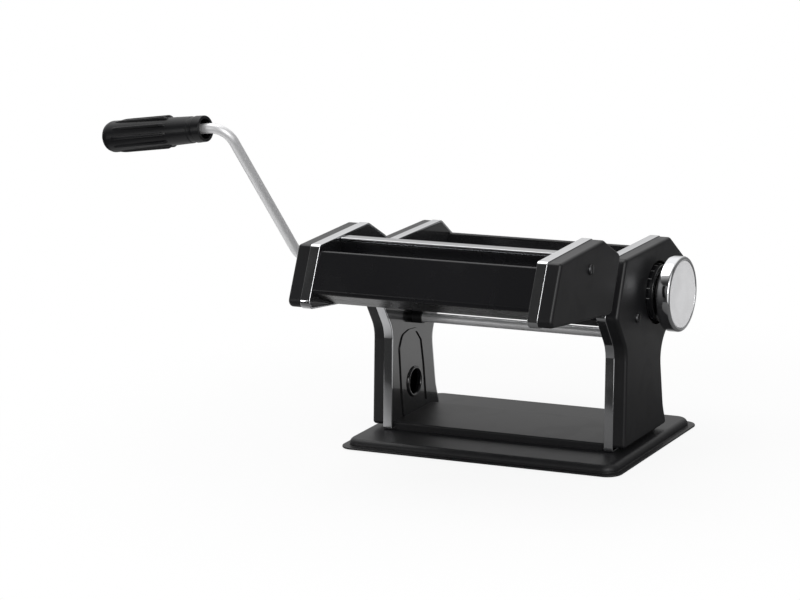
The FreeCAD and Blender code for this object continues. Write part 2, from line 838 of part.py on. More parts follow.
gap_rest = roller_radius * 2 + roller_gap
knob_y = drive_y + (gap_rest - gap_travel / 2) * cosine(gap_lean)
knob_z = drive_z + (gap_rest - gap_travel / 2) * sine(gap_lean)
gap_y = drive_y + gap_rest * cosine(gap_lean)
gap_z = drive_z + gap_rest * sine(gap_lean)
trim_room = trim_wall + trim_fit


def rib_path():
    """The centre line of the pressed rib on the inside of each leg."""
    foot = bridge_top + rib_half + rib_lift
    return side_path("RibPath", [
        (clamp_y - 17, foot, 0), (clamp_y - 18.7, clamp_z - 7, 20), (clamp_y - 20, tie_z - 17.4, 5),
        (clamp_y - 15.5, tie_z - 9.9, 5), (clamp_y - 6.5, tie_z - 8.2, 5), (clamp_y + 5.5, tie_z - 9.4, 5),
        (clamp_y + 12.8, tie_z - 17.6, 5), (clamp_y + 15.8, clamp_z + 9, 20),
        (clamp_y + 17.7, bridge_top + 5, 0)], closed=False)


def make_head_plates():
    """The inner side plates with bearings, clamp holes, pressed ribs and studs."""
    face = inset("HeadPlateFace", head_path, trim_room)
    ribs = doc.addObject("Part::Offset2D", "RibFace")
    ribs.Source = rib_path()
    ribs.Fill = True
    bind(ribs, "Value", rib_half)
    sheet_end = head_inner + plate_gauge
    for side, boss_end in (("Right", boss_right), ("Left", boss_left)):
        plate = prism("HeadPlateSheet" + side, face, head_inner, sheet_end)
        rib = prism("Rib" + side, ribs, head_inner - rib_height, head_inner)
        boss = rod("HeadBoss" + side, journal_radius + boss_wall, head_inner, boss_end, drive_y, drive_z)
        solid = fuse("HeadPlateSolid" + side, plate, rib, boss, *stud_parts(side))
        holes = [
            rod("ClampHole" + side, clamp_hole + eyelet_wall, head_inner - 5, sheet_end + 5, clamp_y, clamp_z),
            rod("HeadBore" + side, journal_radius + running_fit, head_inner - 5, boss_end + 5, drive_y, drive_z)]
        if side == "Right":
            holes.append(leaning_box("BlockWindow", head_inner - 5, sheet_end + 5,
                                     block_half + gap_travel / 2 + slide_fit * 2, block_rise + slide_fit,
                                     knob_y, knob_z, gap_lean))
        else:
            holes.append(rod("JournalWindow", gap_journal + gap_travel / 2 + 0.5,
                             head_inner - 5, sheet_end + 5, knob_y, knob_z))
        plate = cut("HeadPlate" + side, solid, *holes)
        if side == "Left":
            plate = mirror("HeadPlateMirror", plate)
        node(plate, "main_plate_" + side.lower())


def make_trims():
    """The bright bands round the side plates of head and attachment."""
    for name, path, start, end, label in (
            ("HeadTrim", head_path, head_inner, trim_edge, "main_trim_"),
            ("CutterTrim", cutter_path, cutter_inner, cutter_trim_edge, "cutter_trim_")):
        ring = prism(name + "Right", inset(name + "Ring", path, trim_wall, fill=True), start, end)
        node(ring, label + "right")
        node(mirror(name + "Left", ring), label + "left")


def cover_shell(name, path, start):
    """A moulded side cover, open towards the plate."""
    outer = prism(name + "Outer", inset(name + "OuterPath", path, cover_inset), start, cover_face)
    rounded = round_edges(name + "Rounded", outer, cover_edge, at_plane("X", cover_face))
    inner = prism(name + "Inner", inset(name + "InnerPath", path, cover_inset + cover_wall),
                  start, cover_face - cover_wall)
    return rounded, inner


def make_main_covers():
    """The covers over the gears and over the regulator."""
    outer, inner = cover_shell("HeadCover", cover_path, trim_edge)
    hole = rod("ScrewHole", screw_shank + 0.15, trim_edge, cover_face + 5, screw_y, screw_z)
    crank_hole = rod("CrankHole", journal_radius + 1.5, trim_edge, cover_face + 5, drive_y, drive_z)
    rails = []
    for name, sign in (("UpperRail", 1), ("LowerRail", -1)):
        away = sign * (left_block_half + slide_fit + rail_width / 2)
        rails.append(leaning_box(name, left_block_start + 0.3, cover_face - cover_wall,
                                 left_block_half + gap_travel, rail_width / 2,
                                 knob_y - away * sine(gap_lean), knob_z + away * cosine(gap_lean), gap_lean))
    shell = cut("LeftCoverShell", outer, inner, hole, crank_hole)
    left = mirror("LeftCover", fuse("LeftCoverRails", shell, *rails))
    node(left, "main_cover_left")

    recess = rod("Recess", recess_radius, collar_back, cover_face + 5, knob_y, knob_z)
    floor = rod("RecessFloor", recess_radius + cover_wall, collar_back - cover_wall, cover_face - 0.5,
                knob_y, knob_z)
    shaft_hole = rod("ShaftHole", dial_shaft_radius + 0.6, trim_edge, cover_face + 5, knob_y, knob_z)
    shell = cut("RightCoverShell", outer, inner)
    body = fuse("RightCoverSolid", shell, floor)
    node(cut("RightCover", body, recess, hole, shaft_hole), "main_cover_right")


def make_screw(label, start, face, y, z, head):
    """A round-head slotted screw from the plate through the cover."""
    shank = rod(label + "Shank", screw_shank, start, face, y, z)
    dome = rod(label + "Head", head, face, face + screw_rise, y, z)
    domed = round_edges(label + "Dome", dome, screw_rise * 0.6, at_plane("X", face + screw_rise))
    slot = box(label + "Slot", face + screw_rise / 2, face + screw_rise + 1,
               y - screw_slot / 2, y + screw_slot / 2, z - head - 1, z + head + 1)
    return cut(label, fuse(label + "Solid", shank, domed), slot)


def make_screws():
    """One screw in each cover, each housing's pair as one node of two separate solids."""
    right = make_screw("MainScrew", head_inner + plate_gauge, cover_face, screw_y, screw_z, screw_head)
    node(fuse("MainScrews", right, mirror("MainScrewLeft", right)), "main_screws")
    right = make_screw("CutterScrew", cutter_inner + cutter_gauge, cover_face,
                       cutter_screw_y, cutter_screw_z, cutter_screw_head)
    node(fuse("CutterScrews", right, mirror("CutterScrewLeft", right)), "cutter_screws")


def make_eyelets():
    """The rolled rims of the clamp holes."""
    rim = rod("EyeletRim", clamp_hole + eyelet_rim, head_inner - eyelet_lip, head_inner, clamp_y, clamp_z)
    rolled = round_edges("EyeletRolled", rim, eyelet_lip * 0.6, at_plane("X", head_inner - eyelet_lip))
    barrel = rod("EyeletBarrel", clamp_hole + eyelet_wall, head_inner,
                 head_inner + plate_gauge + eyelet_tail, clamp_y, clamp_z)
    hole = rod("EyeletHole", clamp_hole, head_inner - 5, head_inner + 10, clamp_y, clamp_z)
    right = cut("Eyelet", fuse("EyeletSolid", rolled, barrel), hole)
    node(right, "clamp_eyelet_right")
    node(mirror("EyeletLeft", right), "clamp_eyelet_left")


def make_tie_rod():
    """The cross rod between the legs with its end collars."""
    node(rod("TieRod", tie_radius, -head_inner, head_inner, tie_y, tie_z), "tie_rod")
    outer = rod("TieCollarOuter", tie_collar_radius, head_inner - tie_collar_length, head_inner, tie_y, tie_z)
    bore = rod("TieCollarBore", tie_radius + running_fit, head_inner - tie_collar_length - 1,
               head_inner + 1, tie_y, tie_z)
    right = cut("TieCollar", outer, bore)
    node(right, "tie_collar_right")
    node(mirror("TieCollarLeft", right), "tie_collar_left")


def stud_parts(side):
    """The headed stud riveted into a side plate to carry the attachment."""
    neck_start = cutter_inner - hook_gauge - hook_play
    neck = rod("StudNeck" + side, stud_radius, neck_start, head_inner + plate_gauge, stud_y, stud_z)
    head = rod("StudHead" + side, stud_head, neck_start - stud_head_length, neck_start, stud_y, stud_z)
    return [neck, head]


def make_hoods():
    """The bent sheets behind and in front of the rollers."""
    inner_edge_y = hood_edge_y - hood_lip_set
    rear = bent_sheet("RearHood", [
        (inner_edge_y, hood_edge_z - hood_fold, 0), (hood_edge_y, hood_edge_z, 1),
        (head_back_y - hood_inset, head_back_z - 0.6, 3), (head_heel_y - hood_inset, head_heel_z + 0.6, 4),
        (hood_end_y, hood_end_z, 0)], head_inner, -hood_sheet)
    node(rear, "rear_hood")
    front = bent_sheet("FrontGuard", [
        (guard_edge_y + guard_lip_set, guard_edge_z - hood_fold, 0), (guard_edge_y, guard_edge_z, 1),
        (head_nose_y + hood_inset, head_nose_z + 0.5, 3), (guard_end_y, guard_end_z, 0)], head_inner, hood_sheet)
    notches = []
    for name, sign in (("NotchRight", 1), ("NotchLeft", -1)):
        near = guard_notch if sign > 0 else -head_inner - 1
        far = head_inner + 1 if sign > 0 else -guard_notch
        notches.append(box(name, near, far, stud_y - guard_notch_front, stud_y + guard_notch_back,
                           stud_z - guard_notch_floor, stud_z + guard_notch_top))
    node(cut("FrontGuardNotched", front, *notches), "front_guard")


def make_wipers():
    """The two wiper bars below the rollers."""
    for label, y, z, angle, back in (
            ("wiper_front", drive_y, drive_z, 239.5, -1), ("wiper_rear", gap_y, gap_z, 300.5, 1)):
        edge_y = y + (roller_radius + wiper_gap) * cosine(angle)
        edge_z = z + (roller_radius + wiper_gap) * sine(angle)
        low_y = edge_y if back > 0 else edge_y - wiper_size
        bar = box(label.replace("_", ""), -head_inner, head_inner, low_y, low_y + wiper_size,
                  edge_z - wiper_size, edge_z)
        node(bar, label)


# ---------------------------------------------------------------- rollers

def tooth_wheel(name, teeth, tip, root, width, foot, point, bore, x0, y, z, phase):
    """A spur wheel with straight-sided teeth on the side plane at x0."""
    body = doc.addObject("PartDesign::Body", name)
    pad_disc(body, name + "Root", root, 0, width)
    sketch = attach(body, name + "ToothSketch", "YZ_Plane")
    inner = root - 0.4
    fill_path(sketch, [(inner, -foot / 2, 0), (tip, -point / 2, 0), (tip, point / 2, 0), (inner, foot / 2, 0)])
    tooth = pad(body, name + "Tooth", sketch, width)
    repeat_round(body, tooth, teeth)
    pocket_disc(body, name + "Bore", bore, 0, width)
    turn_x(body, phase)
    place(body, x0, y, z)
    return body


def keyed_tool(name, radius, flat, x0, x1, y, z):
    """A round bar with one flat, for the keyed regulator shaft."""
    full = rod(name + "Round", radius, x0, x1, y, z)
    side = box(name + "Side", x0 - 1, x1 + 1, y - radius - 1, y + radius + 1, z - radius - 1, z + flat)
    obj = doc.addObject("Part::MultiCommon", name)
    obj.Shapes = [full, side]
    return obj


def socket_tool(name, y, z):
    """A crank socket: a round bore with a key slot across its mouth."""
    mouth = -cover_face + 1
    bore = rod(name + "Bore", socket_radius, mouth - 1, mouth + socket_depth, y, z)
    slot = box(name + "Slot", mouth - 1, mouth + key_slot_depth, y - key_slot_width / 2,
               y + key_slot_width / 2, z - key_slot_reach, z + key_slot_reach)
    return fuse(name, bore, slot)


def make_drive_roller():
    """The driven smooth roller with journals, crank socket and wheel."""
    roll_end = head_inner - side_gap
    left_end = cover_face - 1
    barrel = rod("DriveBarrel", roller_radius, -roll_end, roll_end, drive_y, drive_z)
    shaft = rod("DriveShaft", journal_radius, -left_end, boss_right, drive_y, drive_z)
    socket = socket_tool("DriveSocket", drive_y, drive_z)
    node(cut("DriveRoller", fuse("DriveSolid", barrel, shaft), socket), "drive_roller")
    wheel = tooth_wheel("DriveWheel", head_gear_teeth, head_gear_tip, head_gear_root, head_gear_width,
                        head_tooth_foot, head_tooth_tip, journal_radius + press_fit,
                        -gear_start - head_gear_width, drive_y, drive_z,
                        gap_lean + 180 / head_gear_teeth)
    node(wheel, "drive_gear")


def make_gap_roller():
    """The adjustable roller: hollow barrel, wheel, fixed axle and slide blocks."""
    roll_end = head_inner - side_gap
    neck_end = gear_start + head_gear_width + 0.2
    barrel = rod("GapBarrel", roller_radius, -roll_end, roll_end, gap_y, gap_z)
    neck = rod("GapNeck", gap_journal, -neck_end, -roll_end, gap_y, gap_z)
    bore = rod("GapBore", gap_axle_radius + running_fit, -neck_end - 1, roll_end + 1, gap_y, gap_z)
    node(cut("GapRoller", fuse("GapSolid", barrel, neck), bore), "gap_roller")
    wheel = tooth_wheel("GapWheel", head_gear_teeth, head_gear_tip, head_gear_root, head_gear_width,
                        head_tooth_foot, head_tooth_tip, gap_journal + press_fit,
                        -gear_start - head_gear_width, gap_y, gap_z, gap_lean + 180)
    node(wheel, "gap_gear")
    left_end = cover_face - cover_wall - 0.3
    seat_end = block_end - cam_depth - 1
    node(rod("GapAxle", gap_axle_radius, -left_end, seat_end, gap_y, gap_z), "gap_axle")
    right = leaning_box("BlockRightSolid", head_inner, block_end, block_half, block_rise, gap_y, gap_z, gap_lean)
    seat = rod("BlockRightSeat", gap_axle_radius + press_fit, head_inner - 1, seat_end, gap_y, gap_z)
    yoke = leaning_box("YokeSlot", block_end - cam_depth, block_end + 1, cam_pin + cam_play,
                       cam_pin + gap_travel / 2 + cam_play, gap_y, gap_z, gap_lean)
    node(cut("BlockRight", right, seat, yoke), "gap_block_right")
    left = leaning_box("BlockLeftSolid", -left_end, -left_block_start, left_block_half, left_block_half,
                       gap_y, gap_z, gap_lean)
    seat = rod("BlockLeftSeat", gap_axle_radius + press_fit, -left_end - 1, -left_block_start + 1, gap_y, gap_z)
    node(cut("BlockLeft", left, seat), "gap_block_left")


# ---------------------------------------------------------------- regulator

def make_dial_shaft():
    """The regulator shaft with its cam pin, key flat and end head."""
    cam_end = block_end + side_gap
    head_start = collar_front + side_gap + hub_floor + knob_pull + dial_head_play
    pin = rod("CamPin", cam_pin, block_end - cam_depth + 0.4, cam_end, gap_y, gap_z)
    shaft = rod("DialShaft", dial_shaft_radius, cam_end, collar_front, knob_y, knob_z)
    keyed = keyed_tool("DialKeyed", dial_shaft_radius, dial_flat, collar_front, head_start, knob_y, knob_z)
    head = rod("DialHead", dial_head, head_start, head_start + dial_head_length, knob_y, knob_z)
    node(fuse("DialSolid", pin, shaft, keyed, head), "dial_shaft")


def make_index_collar():
    """The fixed collar with the arc groove that stops the knob at both ends."""
    play = index_pin + index_play
    spread = 2 * math.degrees(math.asin(play.value / index_radius.value))
    start = 270 - spread / 2
    disc = rod("CollarDisc", collar_radius, collar_back, collar_front, knob_y, knob_z)
    rounded = round_edges("CollarEdge", disc, 0.8, at_plane("X", collar_front))
    bore = rod("CollarBore", dial_shaft_radius + running_fit, collar_back - 1, collar_front + 1, knob_y, knob_z)
    floor = collar_front - index_groove
    outer = rod("GrooveOuter", index_radius + play, floor, collar_front + 1, knob_y, knob_z,
                index_sweep + spread, start)
    inner = rod("GrooveInner", index_radius - play, floor - 1, collar_front + 2, knob_y, knob_z)
    groove = cut("Groove", outer, inner)
    node(cut("Collar", rounded, bore, groove), "index_collar")


def make_knob():
    """The pull-out regulator knob: hub with index pin, disc and face."""
    hub_start = collar_front + side_gap
    hub = rod("HubOuter", hub_radius, hub_start, knob_back, knob_y, knob_z)
    pin = rod("IndexPin", index_pin, collar_front - index_groove + 0.8, hub_start + 1,
              knob_y, knob_z - index_radius)
    hole = keyed_tool("HubKey", dial_shaft_radius + slide_fit, dial_flat + slide_fit,
                      hub_start - 1, hub_start + hub_floor + 1, knob_y, knob_z)
    cavity = rod("HubCavity", hub_cavity, hub_start + hub_floor, knob_back + 1, knob_y, knob_z)
    node(cut("Hub", fuse("HubSolid", hub, pin), hole, cavity), "knob_hub")

    body = doc.addObject("PartDesign::Body", "KnobDisc")
    depth = knob_front - knob_back
    pad_disc(body, "KnobDiscPad", knob_radius, 0, depth)
    soften(body, "KnobDiscEdge", knob_edge, lambda edge: edge.BoundBox.XLength < 0.01)
    pocket_disc(body, "KnobFaceSeat", knob_face_radius + slide_fit, depth - knob_face_depth, depth)
    pocket_disc(body, "KnobCavity", hub_cavity, 0, depth - knob_face_depth - 0.8)
    place(body, knob_back, knob_y, knob_z)
    node(body, "regulator_knob")

    face_start = knob_front - knob_face_depth
    plate = rod("FacePlate", knob_face_radius, face_start, knob_front - knob_face_set, knob_y, knob_z)
    node(plate, "knob_face")


# ---------------------------------------------------------------- cutter attachment

cut_stations = (("narrow_driver", narrow_y, narrow_z), ("narrow_idler", narrow_y + cut_spacing, narrow_z),
                ("wide_idler", wide_y, wide_z), ("wide_driver", wide_y + cut_spacing, wide_z))


def make_cutter_plates():
    """The attachment's side plates with roll bearings."""
    face = inset("CutterPlateFace", cutter_path, trim_room)
    sheet_end = cutter_inner + cutter_gauge
    for side in ("Right", "Left"):
        parts = [prism("CutterPlateSheet" + side, face, cutter_inner, sheet_end)]
        holes = []
        for station, y, z in cut_stations:
            drive = side == "Left" and station.endswith("driver")
            radius = cut_drive_journal if drive else cut_journal
            parts.append(rod("CutterBoss" + side + station, radius + cut_boss_wall, cutter_inner, cut_boss_end, y, z))
            holes.append(rod("CutterBore" + side + station, radius + running_fit, cutter_inner - 1,
                             cut_boss_end + 1, y, z))
        plate = cut("CutterPlate" + side, fuse("CutterPlateSolid" + side, *parts), *holes)
        if side == "Left":
            plate = mirror("CutterPlateMirror", plate)
        node(plate, "cutter_plate_" + side.lower())


def make_cutter_covers():
    """The attachment's covers; the left one is open at both crank sockets."""
    outer, inner = cover_shell("CutterCover", cutter_path, cutter_trim_edge)
    hole = rod("CutterScrewHole", screw_shank + 0.15, cutter_trim_edge, cover_face + 5,
               cutter_screw_y, cutter_screw_z)
    node(cut("CutterCoverRight", outer, inner, hole), "cutter_cover_right")
    sockets = [rod("SocketHole" + station, cut_drive_journal + 1.5, cutter_trim_edge, cover_face + 5, y, z)
               for station, y, z in cut_stations if station.endswith("driver")]
    left = cut("CutterCoverLeftSource", outer, inner, hole, *sockets)
    node(mirror("CutterCoverLeft", left), "cutter_cover_left")


def make_cutter_hoods():
    """The attachment's front hood, centre strip with its feed guide, and rear hood."""
    front = bent_sheet("CutterFrontHood", [
        (front_hood_lip_y, front_hood_lip_z, 0), (front_hood_top_y, front_hood_top_z, 1.5),
        (front_hood_fold_y, front_hood_fold_z, 3), (front_hood_end_y, front_hood_end_z, 0)],
        cutter_inner, -hood_sheet)
    node(front, "cutter_front_hood")
    strip = box("StripBar", -cutter_inner, cutter_inner, strip_front, strip_back, strip_low, strip_high)
    rounded = round_edges("Strip", strip, strip_edge,
                          lambda e: at_plane("Z", strip_high)(e) and e.BoundBox.XLength > 1)
    node(rounded, "cutter_center_strip")
    guide = bent_sheet("FeedGuide", [
        (strip_back - guide_set, guide_low, 0), (strip_back - guide_set, strip_low, 0.9),
        (strip_front + guide_set, strip_low, 0.9), (strip_front + guide_set, guide_low, 0)],
        cutter_inner, -guide_sheet)
    node(guide, "cutter_feed_guide")
    rear = bent_sheet("CutterRearHood", [
        (rear_hood_top_y - rear_hood_lip_set, rear_hood_top_z - rear_hood_lip_drop, 0),
        (rear_hood_top_y, rear_hood_top_z, 1.5),
        (cutter_heel_y - rear_hood_knee_set, cutter_heel_z + rear_hood_knee_rise, 2),
        (rear_hood_end_y, rear_hood_end_z, 0)], cutter_inner, -hood_sheet)
    notches = []
    for name, sign in (("HookSlotRight", 1), ("HookSlotLeft", -1)):
        near = cutter_inner - hook_gauge - 0.5 if sign > 0 else -cutter_inner - 1
        far = cutter_inner + 1 if sign > 0 else -cutter_inner + hook_gauge + 0.5
        notches.append(box(name, near, far, hook_root_y - 2, stud_y + 1, hook_low - 0.5, hook_high + 0.5))
    node(cut("CutterRearHoodNotched", rear, *notches), "cutter_rear_hood")


def make_hooks():
    """The tongues that drop over the studs of the rolling head."""
    inner = cutter_inner - hook_gauge
    tongue = box("HookTongue", inner, cutter_inner, hook_root_y, hook_tip_y, hook_low, hook_high)
    slot_half = stud_radius + hook_play
    slot = box("HookSlot", inner - 1, cutter_inner + 1, stud_y - slot_half, stud_y + slot_half,
               hook_low - 1, stud_z)
    eye = rod("HookEye", slot_half, inner - 1, cutter_inner + 1, stud_y, stud_z)
    right = cut("Hook", tongue, slot, eye)
    node(right, "hook_right")
    node(mirror("HookLeft", right), "hook_left")


def make_cut_roll(name, y, z, pitch, disc, count, shift, driver):
    """One grooved cutting roll: core, discs, journals and, if driven, a socket."""
    body = doc.addObject("PartDesign::Body", "Roll" + name)
    end = cutter_inner - side_gap
    pad_disc(body, "Core" + name, cut_core, -end, end)
    first = -as_size(pitch) * ((count - 1) / 2) + shift - disc / 2
    ring = pad_disc(body, "Disc" + name, cut_disc, first, first + disc)
    repeat_along(body, ring, pitch, count)
    pad_disc(body, "JournalRight" + name, cut_journal, end, cut_gear_start + cut_gear_width + 0.3)
    if driver:
        pad_disc(body, "JournalLeft" + name, cut_drive_journal, -cover_face + 1, -end)
    else:
        pad_disc(body, "JournalLeft" + name, cut_journal, -cut_boss_end, -end)
    place(body, 0, y, z)
    if not driver:
        return node(body, name)
    socket = socket_tool("Socket" + name, y, z)
    return node(cut("RollSocketed" + name, body, socket), name)


def make_cut_rolls():
    """Both pairs of cutting rolls and their wheels."""
    for name, y, z in cut_stations:
        driver = name.endswith("driver")
        if name.startswith("narrow"):
            pitch, disc, count = narrow_pitch, narrow_disc, narrow_count
        else:
            pitch, disc, count = wide_pitch, wide_disc, wide_count
        shift = pitch / 4 if driver else -pitch / 4
        make_cut_roll(name, y, z, pitch, disc, count, shift, driver)
        front = name in ("narrow_driver", "wide_idler")
        phase = 180 / cut_gear_teeth if front else 180
        wheel = tooth_wheel("Wheel" + name, cut_gear_teeth, cut_gear_tip, cut_gear_root, cut_gear_width,
                            cut_tooth_foot, cut_tooth_tip, cut_journal + press_fit,
                            cut_gear_start, y, z, phase)
        node(wheel, name + "_gear")


def make_comb(name, y, z, pitch, disc, count, shift):
    """A stripping comb whose fingers run in the grooves of the roll at (y, z)."""
    body = doc.addObject("PartDesign::Body", "Comb" + name)
    bar_near = cut_disc - 1.7
    top = -cut_core - 0.7
    end = cutter_inner
    bar = attach(body, "BarSketch" + name, "YZ_Plane", -end)
    fill_path(bar, [(bar_near, top - comb_drop, 0), (bar_near + comb_bar, top - comb_drop, 0),
                    (bar_near + comb_bar, top, 0), (bar_near, top, 0)])
    pad(body, "Bar" + name, bar, end * 2)
    groove = pitch - disc
    thick = groove - comb_play * 2
    first = -as_size(pitch) * ((count - 2) / 2) + shift - thick / 2
    finger = attach(body, "FingerSketch" + name, "YZ_Plane", first)
    fill_path(finger, [(-2, top - comb_rise, 0), (bar_near + 1, top - comb_rise, 0),
                       (bar_near + 1, top, 0), (-2, top, 0)])
    tooth = pad(body, "Finger" + name, finger, thick)
    repeat_along(body, tooth, pitch, count - 1)
    place(body, 0, y, z)
    return node(body, name)


def make_combs():
    """One comb below each pair."""
    make_comb("narrow_comb", narrow_y + cut_spacing, narrow_z, narrow_pitch, narrow_disc, narrow_count,
              -narrow_pitch / 4)
    make_comb("wide_comb", wide_y + cut_spacing, wide_z, wide_pitch, wide_disc, wide_count, wide_pitch / 4)


# ---------------------------------------------------------------- crank

def crank_frame():
    """Placement of the crank plane: local x runs along -X, local y up the arm."""
    angle = math.radians(crank_angle.value)
    along = V(-1, 0, 0)
    up = V(0, math.cos(angle), math.sin(angle))
    return FreeCAD.Placement(V(0, drive_y.value, drive_z.value), FreeCAD.Rotation(along, up, V(), "XYZ"))


def make_crank():
    """The bent crank rod with its cross key and riveted tip."""
    frame = crank_frame()
    inserted = cover_face - socket_depth
    spine = doc.addObject("Sketcher::SketchObject", "CrankPath")
    fill_path(spine, [(inserted, 0, 0), (crank_reach, 0, crank_bend),
                      (crank_reach + crank_lean, crank_arm, crank_bend),
                      (crank_reach + crank_lean + crank_grip_reach, crank_arm - crank_grip_drop, 0)], closed=False)
    spine.Placement = frame
    section = doc.addObject("Sketcher::SketchObject", "CrankSection")
    add_circle(section, crank_radius)
    section.Placement = side_frame(0)
    place(section, -inserted, drive_y, drive_z)
    sweep = doc.addObject("Part::Sweep", "CrankSweep")
    sweep.Sections = [section]
    sweep.Spine = (spine, ["Edge%d" % (i + 1) for i in range(5)])
    sweep.Solid = True
    sweep.Frenet = False
    key_half = key_slot_width / 2 - crank_key_play
    key_reach = key_slot_reach - crank_key_play
    key_start = -cover_face + 2
    key = box("CrankKey", key_start, key_start + key_slot_depth - 2, drive_y - key_half, drive_y + key_half,
              drive_z - key_reach, drive_z + key_reach)
    rivet = doc.addObject("Part::Cylinder", "Rivet")
    bind(rivet, "Radius", rivet_radius)
    bind(rivet, "Height", rivet_length)
    rivet.Placement = grip_frame(grip_distance() + 0.4)
    node(fuse("CrankRod", sweep, rivet, key), "crank_rod")


def grip_distance():
    """Distance from the upper corner of the crank to the end of the grip."""
    return grip_start.value + grip_length.value


def grip_frame(distance):
    """Placement on the grip axis at a distance from the upper corner, local z outwards."""
    frame = crank_frame()
    corner = V(crank_reach.value + crank_lean.value, crank_arm.value, 0)
    run = V(crank_grip_reach.value, -crank_grip_drop.value, 0)
    run.normalize()
    outwards = frame.Rotation.multVec(run)
    return FreeCAD.Placement(frame.multVec(corner + run * distance), FreeCAD.Rotation(V(0, 0, 1), outwards))


def make_grip():
    """The spinning grip: a turned sleeve with a hollow mouth and long ribs."""
    body = doc.addObject("PartDesign::Body", "Grip")
    sketch = attach(body, "GripSketch", "XZ_Plane")
    bore = crank_radius + running_fit
    fill_path(sketch, [(bore, grip_recess, 0), (grip_mouth - grip_wall, grip_recess, 0),
                       (grip_mouth - grip_wall, 0, 0), (grip_mouth, 0, 0), (grip_end, grip_length - 5, 0),
                       (grip_end - 1.6, grip_length - 1.2, 0), (grip_end - 4, grip_length, 0),
                       (bore, grip_length, 0)])
    turned = body.newObject("PartDesign::Revolution", "GripTurned")
    turned.Profile = sketch
    turned.ReferenceAxis = (origin_of(body, "Z_Axis"), [""])
    turned.Angle = 360
    doc.recompute()
    rib = attach(body, "GripRibSketch", "XZ_Plane", -grip_rib_width / 2)
    start = grip_rib_start
    end = grip_length - 9
    fill_path(rib, [(grip_mouth - 1, start, 0), (grip_rib_top - 0.4, start, 0), (grip_rib_top, start + 4, 0),
                    (grip_rib_top, end - 8, 0), (grip_end - 0.2, end, 0), (grip_mouth - 1, end, 0)])
    ridge = pad(body, "GripRib", rib, grip_rib_width)
    repeat_round(body, ridge, grip_rib_count, "Z_Axis")
    body.Placement = grip_frame(grip_start.value)
    node(body, "crank_grip")


# ---------------------------------------------------------------- build and export

def check_objects():
    """Stop on any failed object or bad sub-part."""
    for obj in doc.Objects:
        bad = [flag for flag in ("Invalid", "Error") if flag in obj.State]
        if bad:
            raise RuntimeError("%s is %s" % (obj.Name, bad))
    for obj in node_objects:
        if obj.Shape.isNull() or not obj.Shape.isValid() or not obj.Shape.Solids:
            raise RuntimeError("%s has no valid solid" % obj.Label)


def export_nodes():
    """Write one STEP file per sub-part."""
    os.makedirs("parts", exist_ok=True)
    for obj in node_objects:
        obj.Shape.exportStep("parts/%s.step" % obj.Label)


make_base_pan()
make_base_bridge()
make_feet()
make_head_plates()
make_trims()
make_main_covers()
make_screws()
make_eyelets()
make_tie_rod()
make_hoods()
make_wipers()
make_drive_roller()
make_gap_roller()
make_dial_shaft()
make_index_collar()
make_knob()
make_cutter_plates()
make_cutter_covers()
make_cutter_hoods()
make_hooks()
make_cut_rolls()
make_combs()
make_crank()
make_grip()
doc.recompute()
check_objects()
export_nodes()
print("%d sub-parts" % len(node_objects))
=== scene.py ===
"""Looks of a hand-cranked pasta rolling machine with a lift-off cutter attachment.

Frame: +X is the regulator knob side, -Y the attachment side, +Z up, in metres.
Each sub-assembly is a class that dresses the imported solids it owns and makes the
pieces that need more shape than those solids have.
"""

from __future__ import annotations

import json
import logging
import math
from dataclasses import dataclass
from enum import Enum
from functools import cache

import bmesh
import bpy
from bpy.types import Material, Mesh, Node, NodeSocket, NodeTree, Object, World
from mathutils import Matrix, Vector

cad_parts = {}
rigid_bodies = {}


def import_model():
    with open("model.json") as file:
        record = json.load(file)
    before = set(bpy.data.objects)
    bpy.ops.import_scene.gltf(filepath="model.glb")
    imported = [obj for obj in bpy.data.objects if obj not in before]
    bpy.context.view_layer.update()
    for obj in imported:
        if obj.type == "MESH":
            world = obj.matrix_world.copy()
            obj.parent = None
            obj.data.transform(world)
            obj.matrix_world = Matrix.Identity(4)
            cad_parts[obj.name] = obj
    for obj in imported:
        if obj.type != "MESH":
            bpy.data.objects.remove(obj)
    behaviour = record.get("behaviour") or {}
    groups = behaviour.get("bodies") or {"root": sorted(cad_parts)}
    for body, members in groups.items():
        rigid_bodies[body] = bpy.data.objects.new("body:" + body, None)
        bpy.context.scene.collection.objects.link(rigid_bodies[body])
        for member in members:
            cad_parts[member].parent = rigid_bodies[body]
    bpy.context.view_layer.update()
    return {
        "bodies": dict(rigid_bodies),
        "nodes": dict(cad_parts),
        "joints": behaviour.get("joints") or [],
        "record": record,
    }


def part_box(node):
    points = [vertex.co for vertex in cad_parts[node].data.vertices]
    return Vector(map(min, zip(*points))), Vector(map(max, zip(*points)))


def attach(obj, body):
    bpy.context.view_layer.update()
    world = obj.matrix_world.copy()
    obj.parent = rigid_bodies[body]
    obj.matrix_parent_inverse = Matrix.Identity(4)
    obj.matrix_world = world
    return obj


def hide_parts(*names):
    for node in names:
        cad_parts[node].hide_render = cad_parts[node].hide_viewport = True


log = logging.getLogger("pasta_machine")

Colour = tuple[float, float, float]
Point = tuple[float, float, float]
Corner = tuple[float, float, float]
MM = 0.001
BAND_ROUND = 0.4 * MM
SHEET_ROUND = 0.3 * MM
WELD_REACH = 2e-6
ON_AXIS = 1e-7
FLAT_ANGLE = math.radians(0.6)
EDGE_ANGLE = math.radians(32)
FLAT_WEIGHT = 90
DUST_COLOUR = (0.45, 0.43, 0.4, 1.0)
WHITE = (1.0, 1.0, 1.0, 1.0)


# ---- node trees


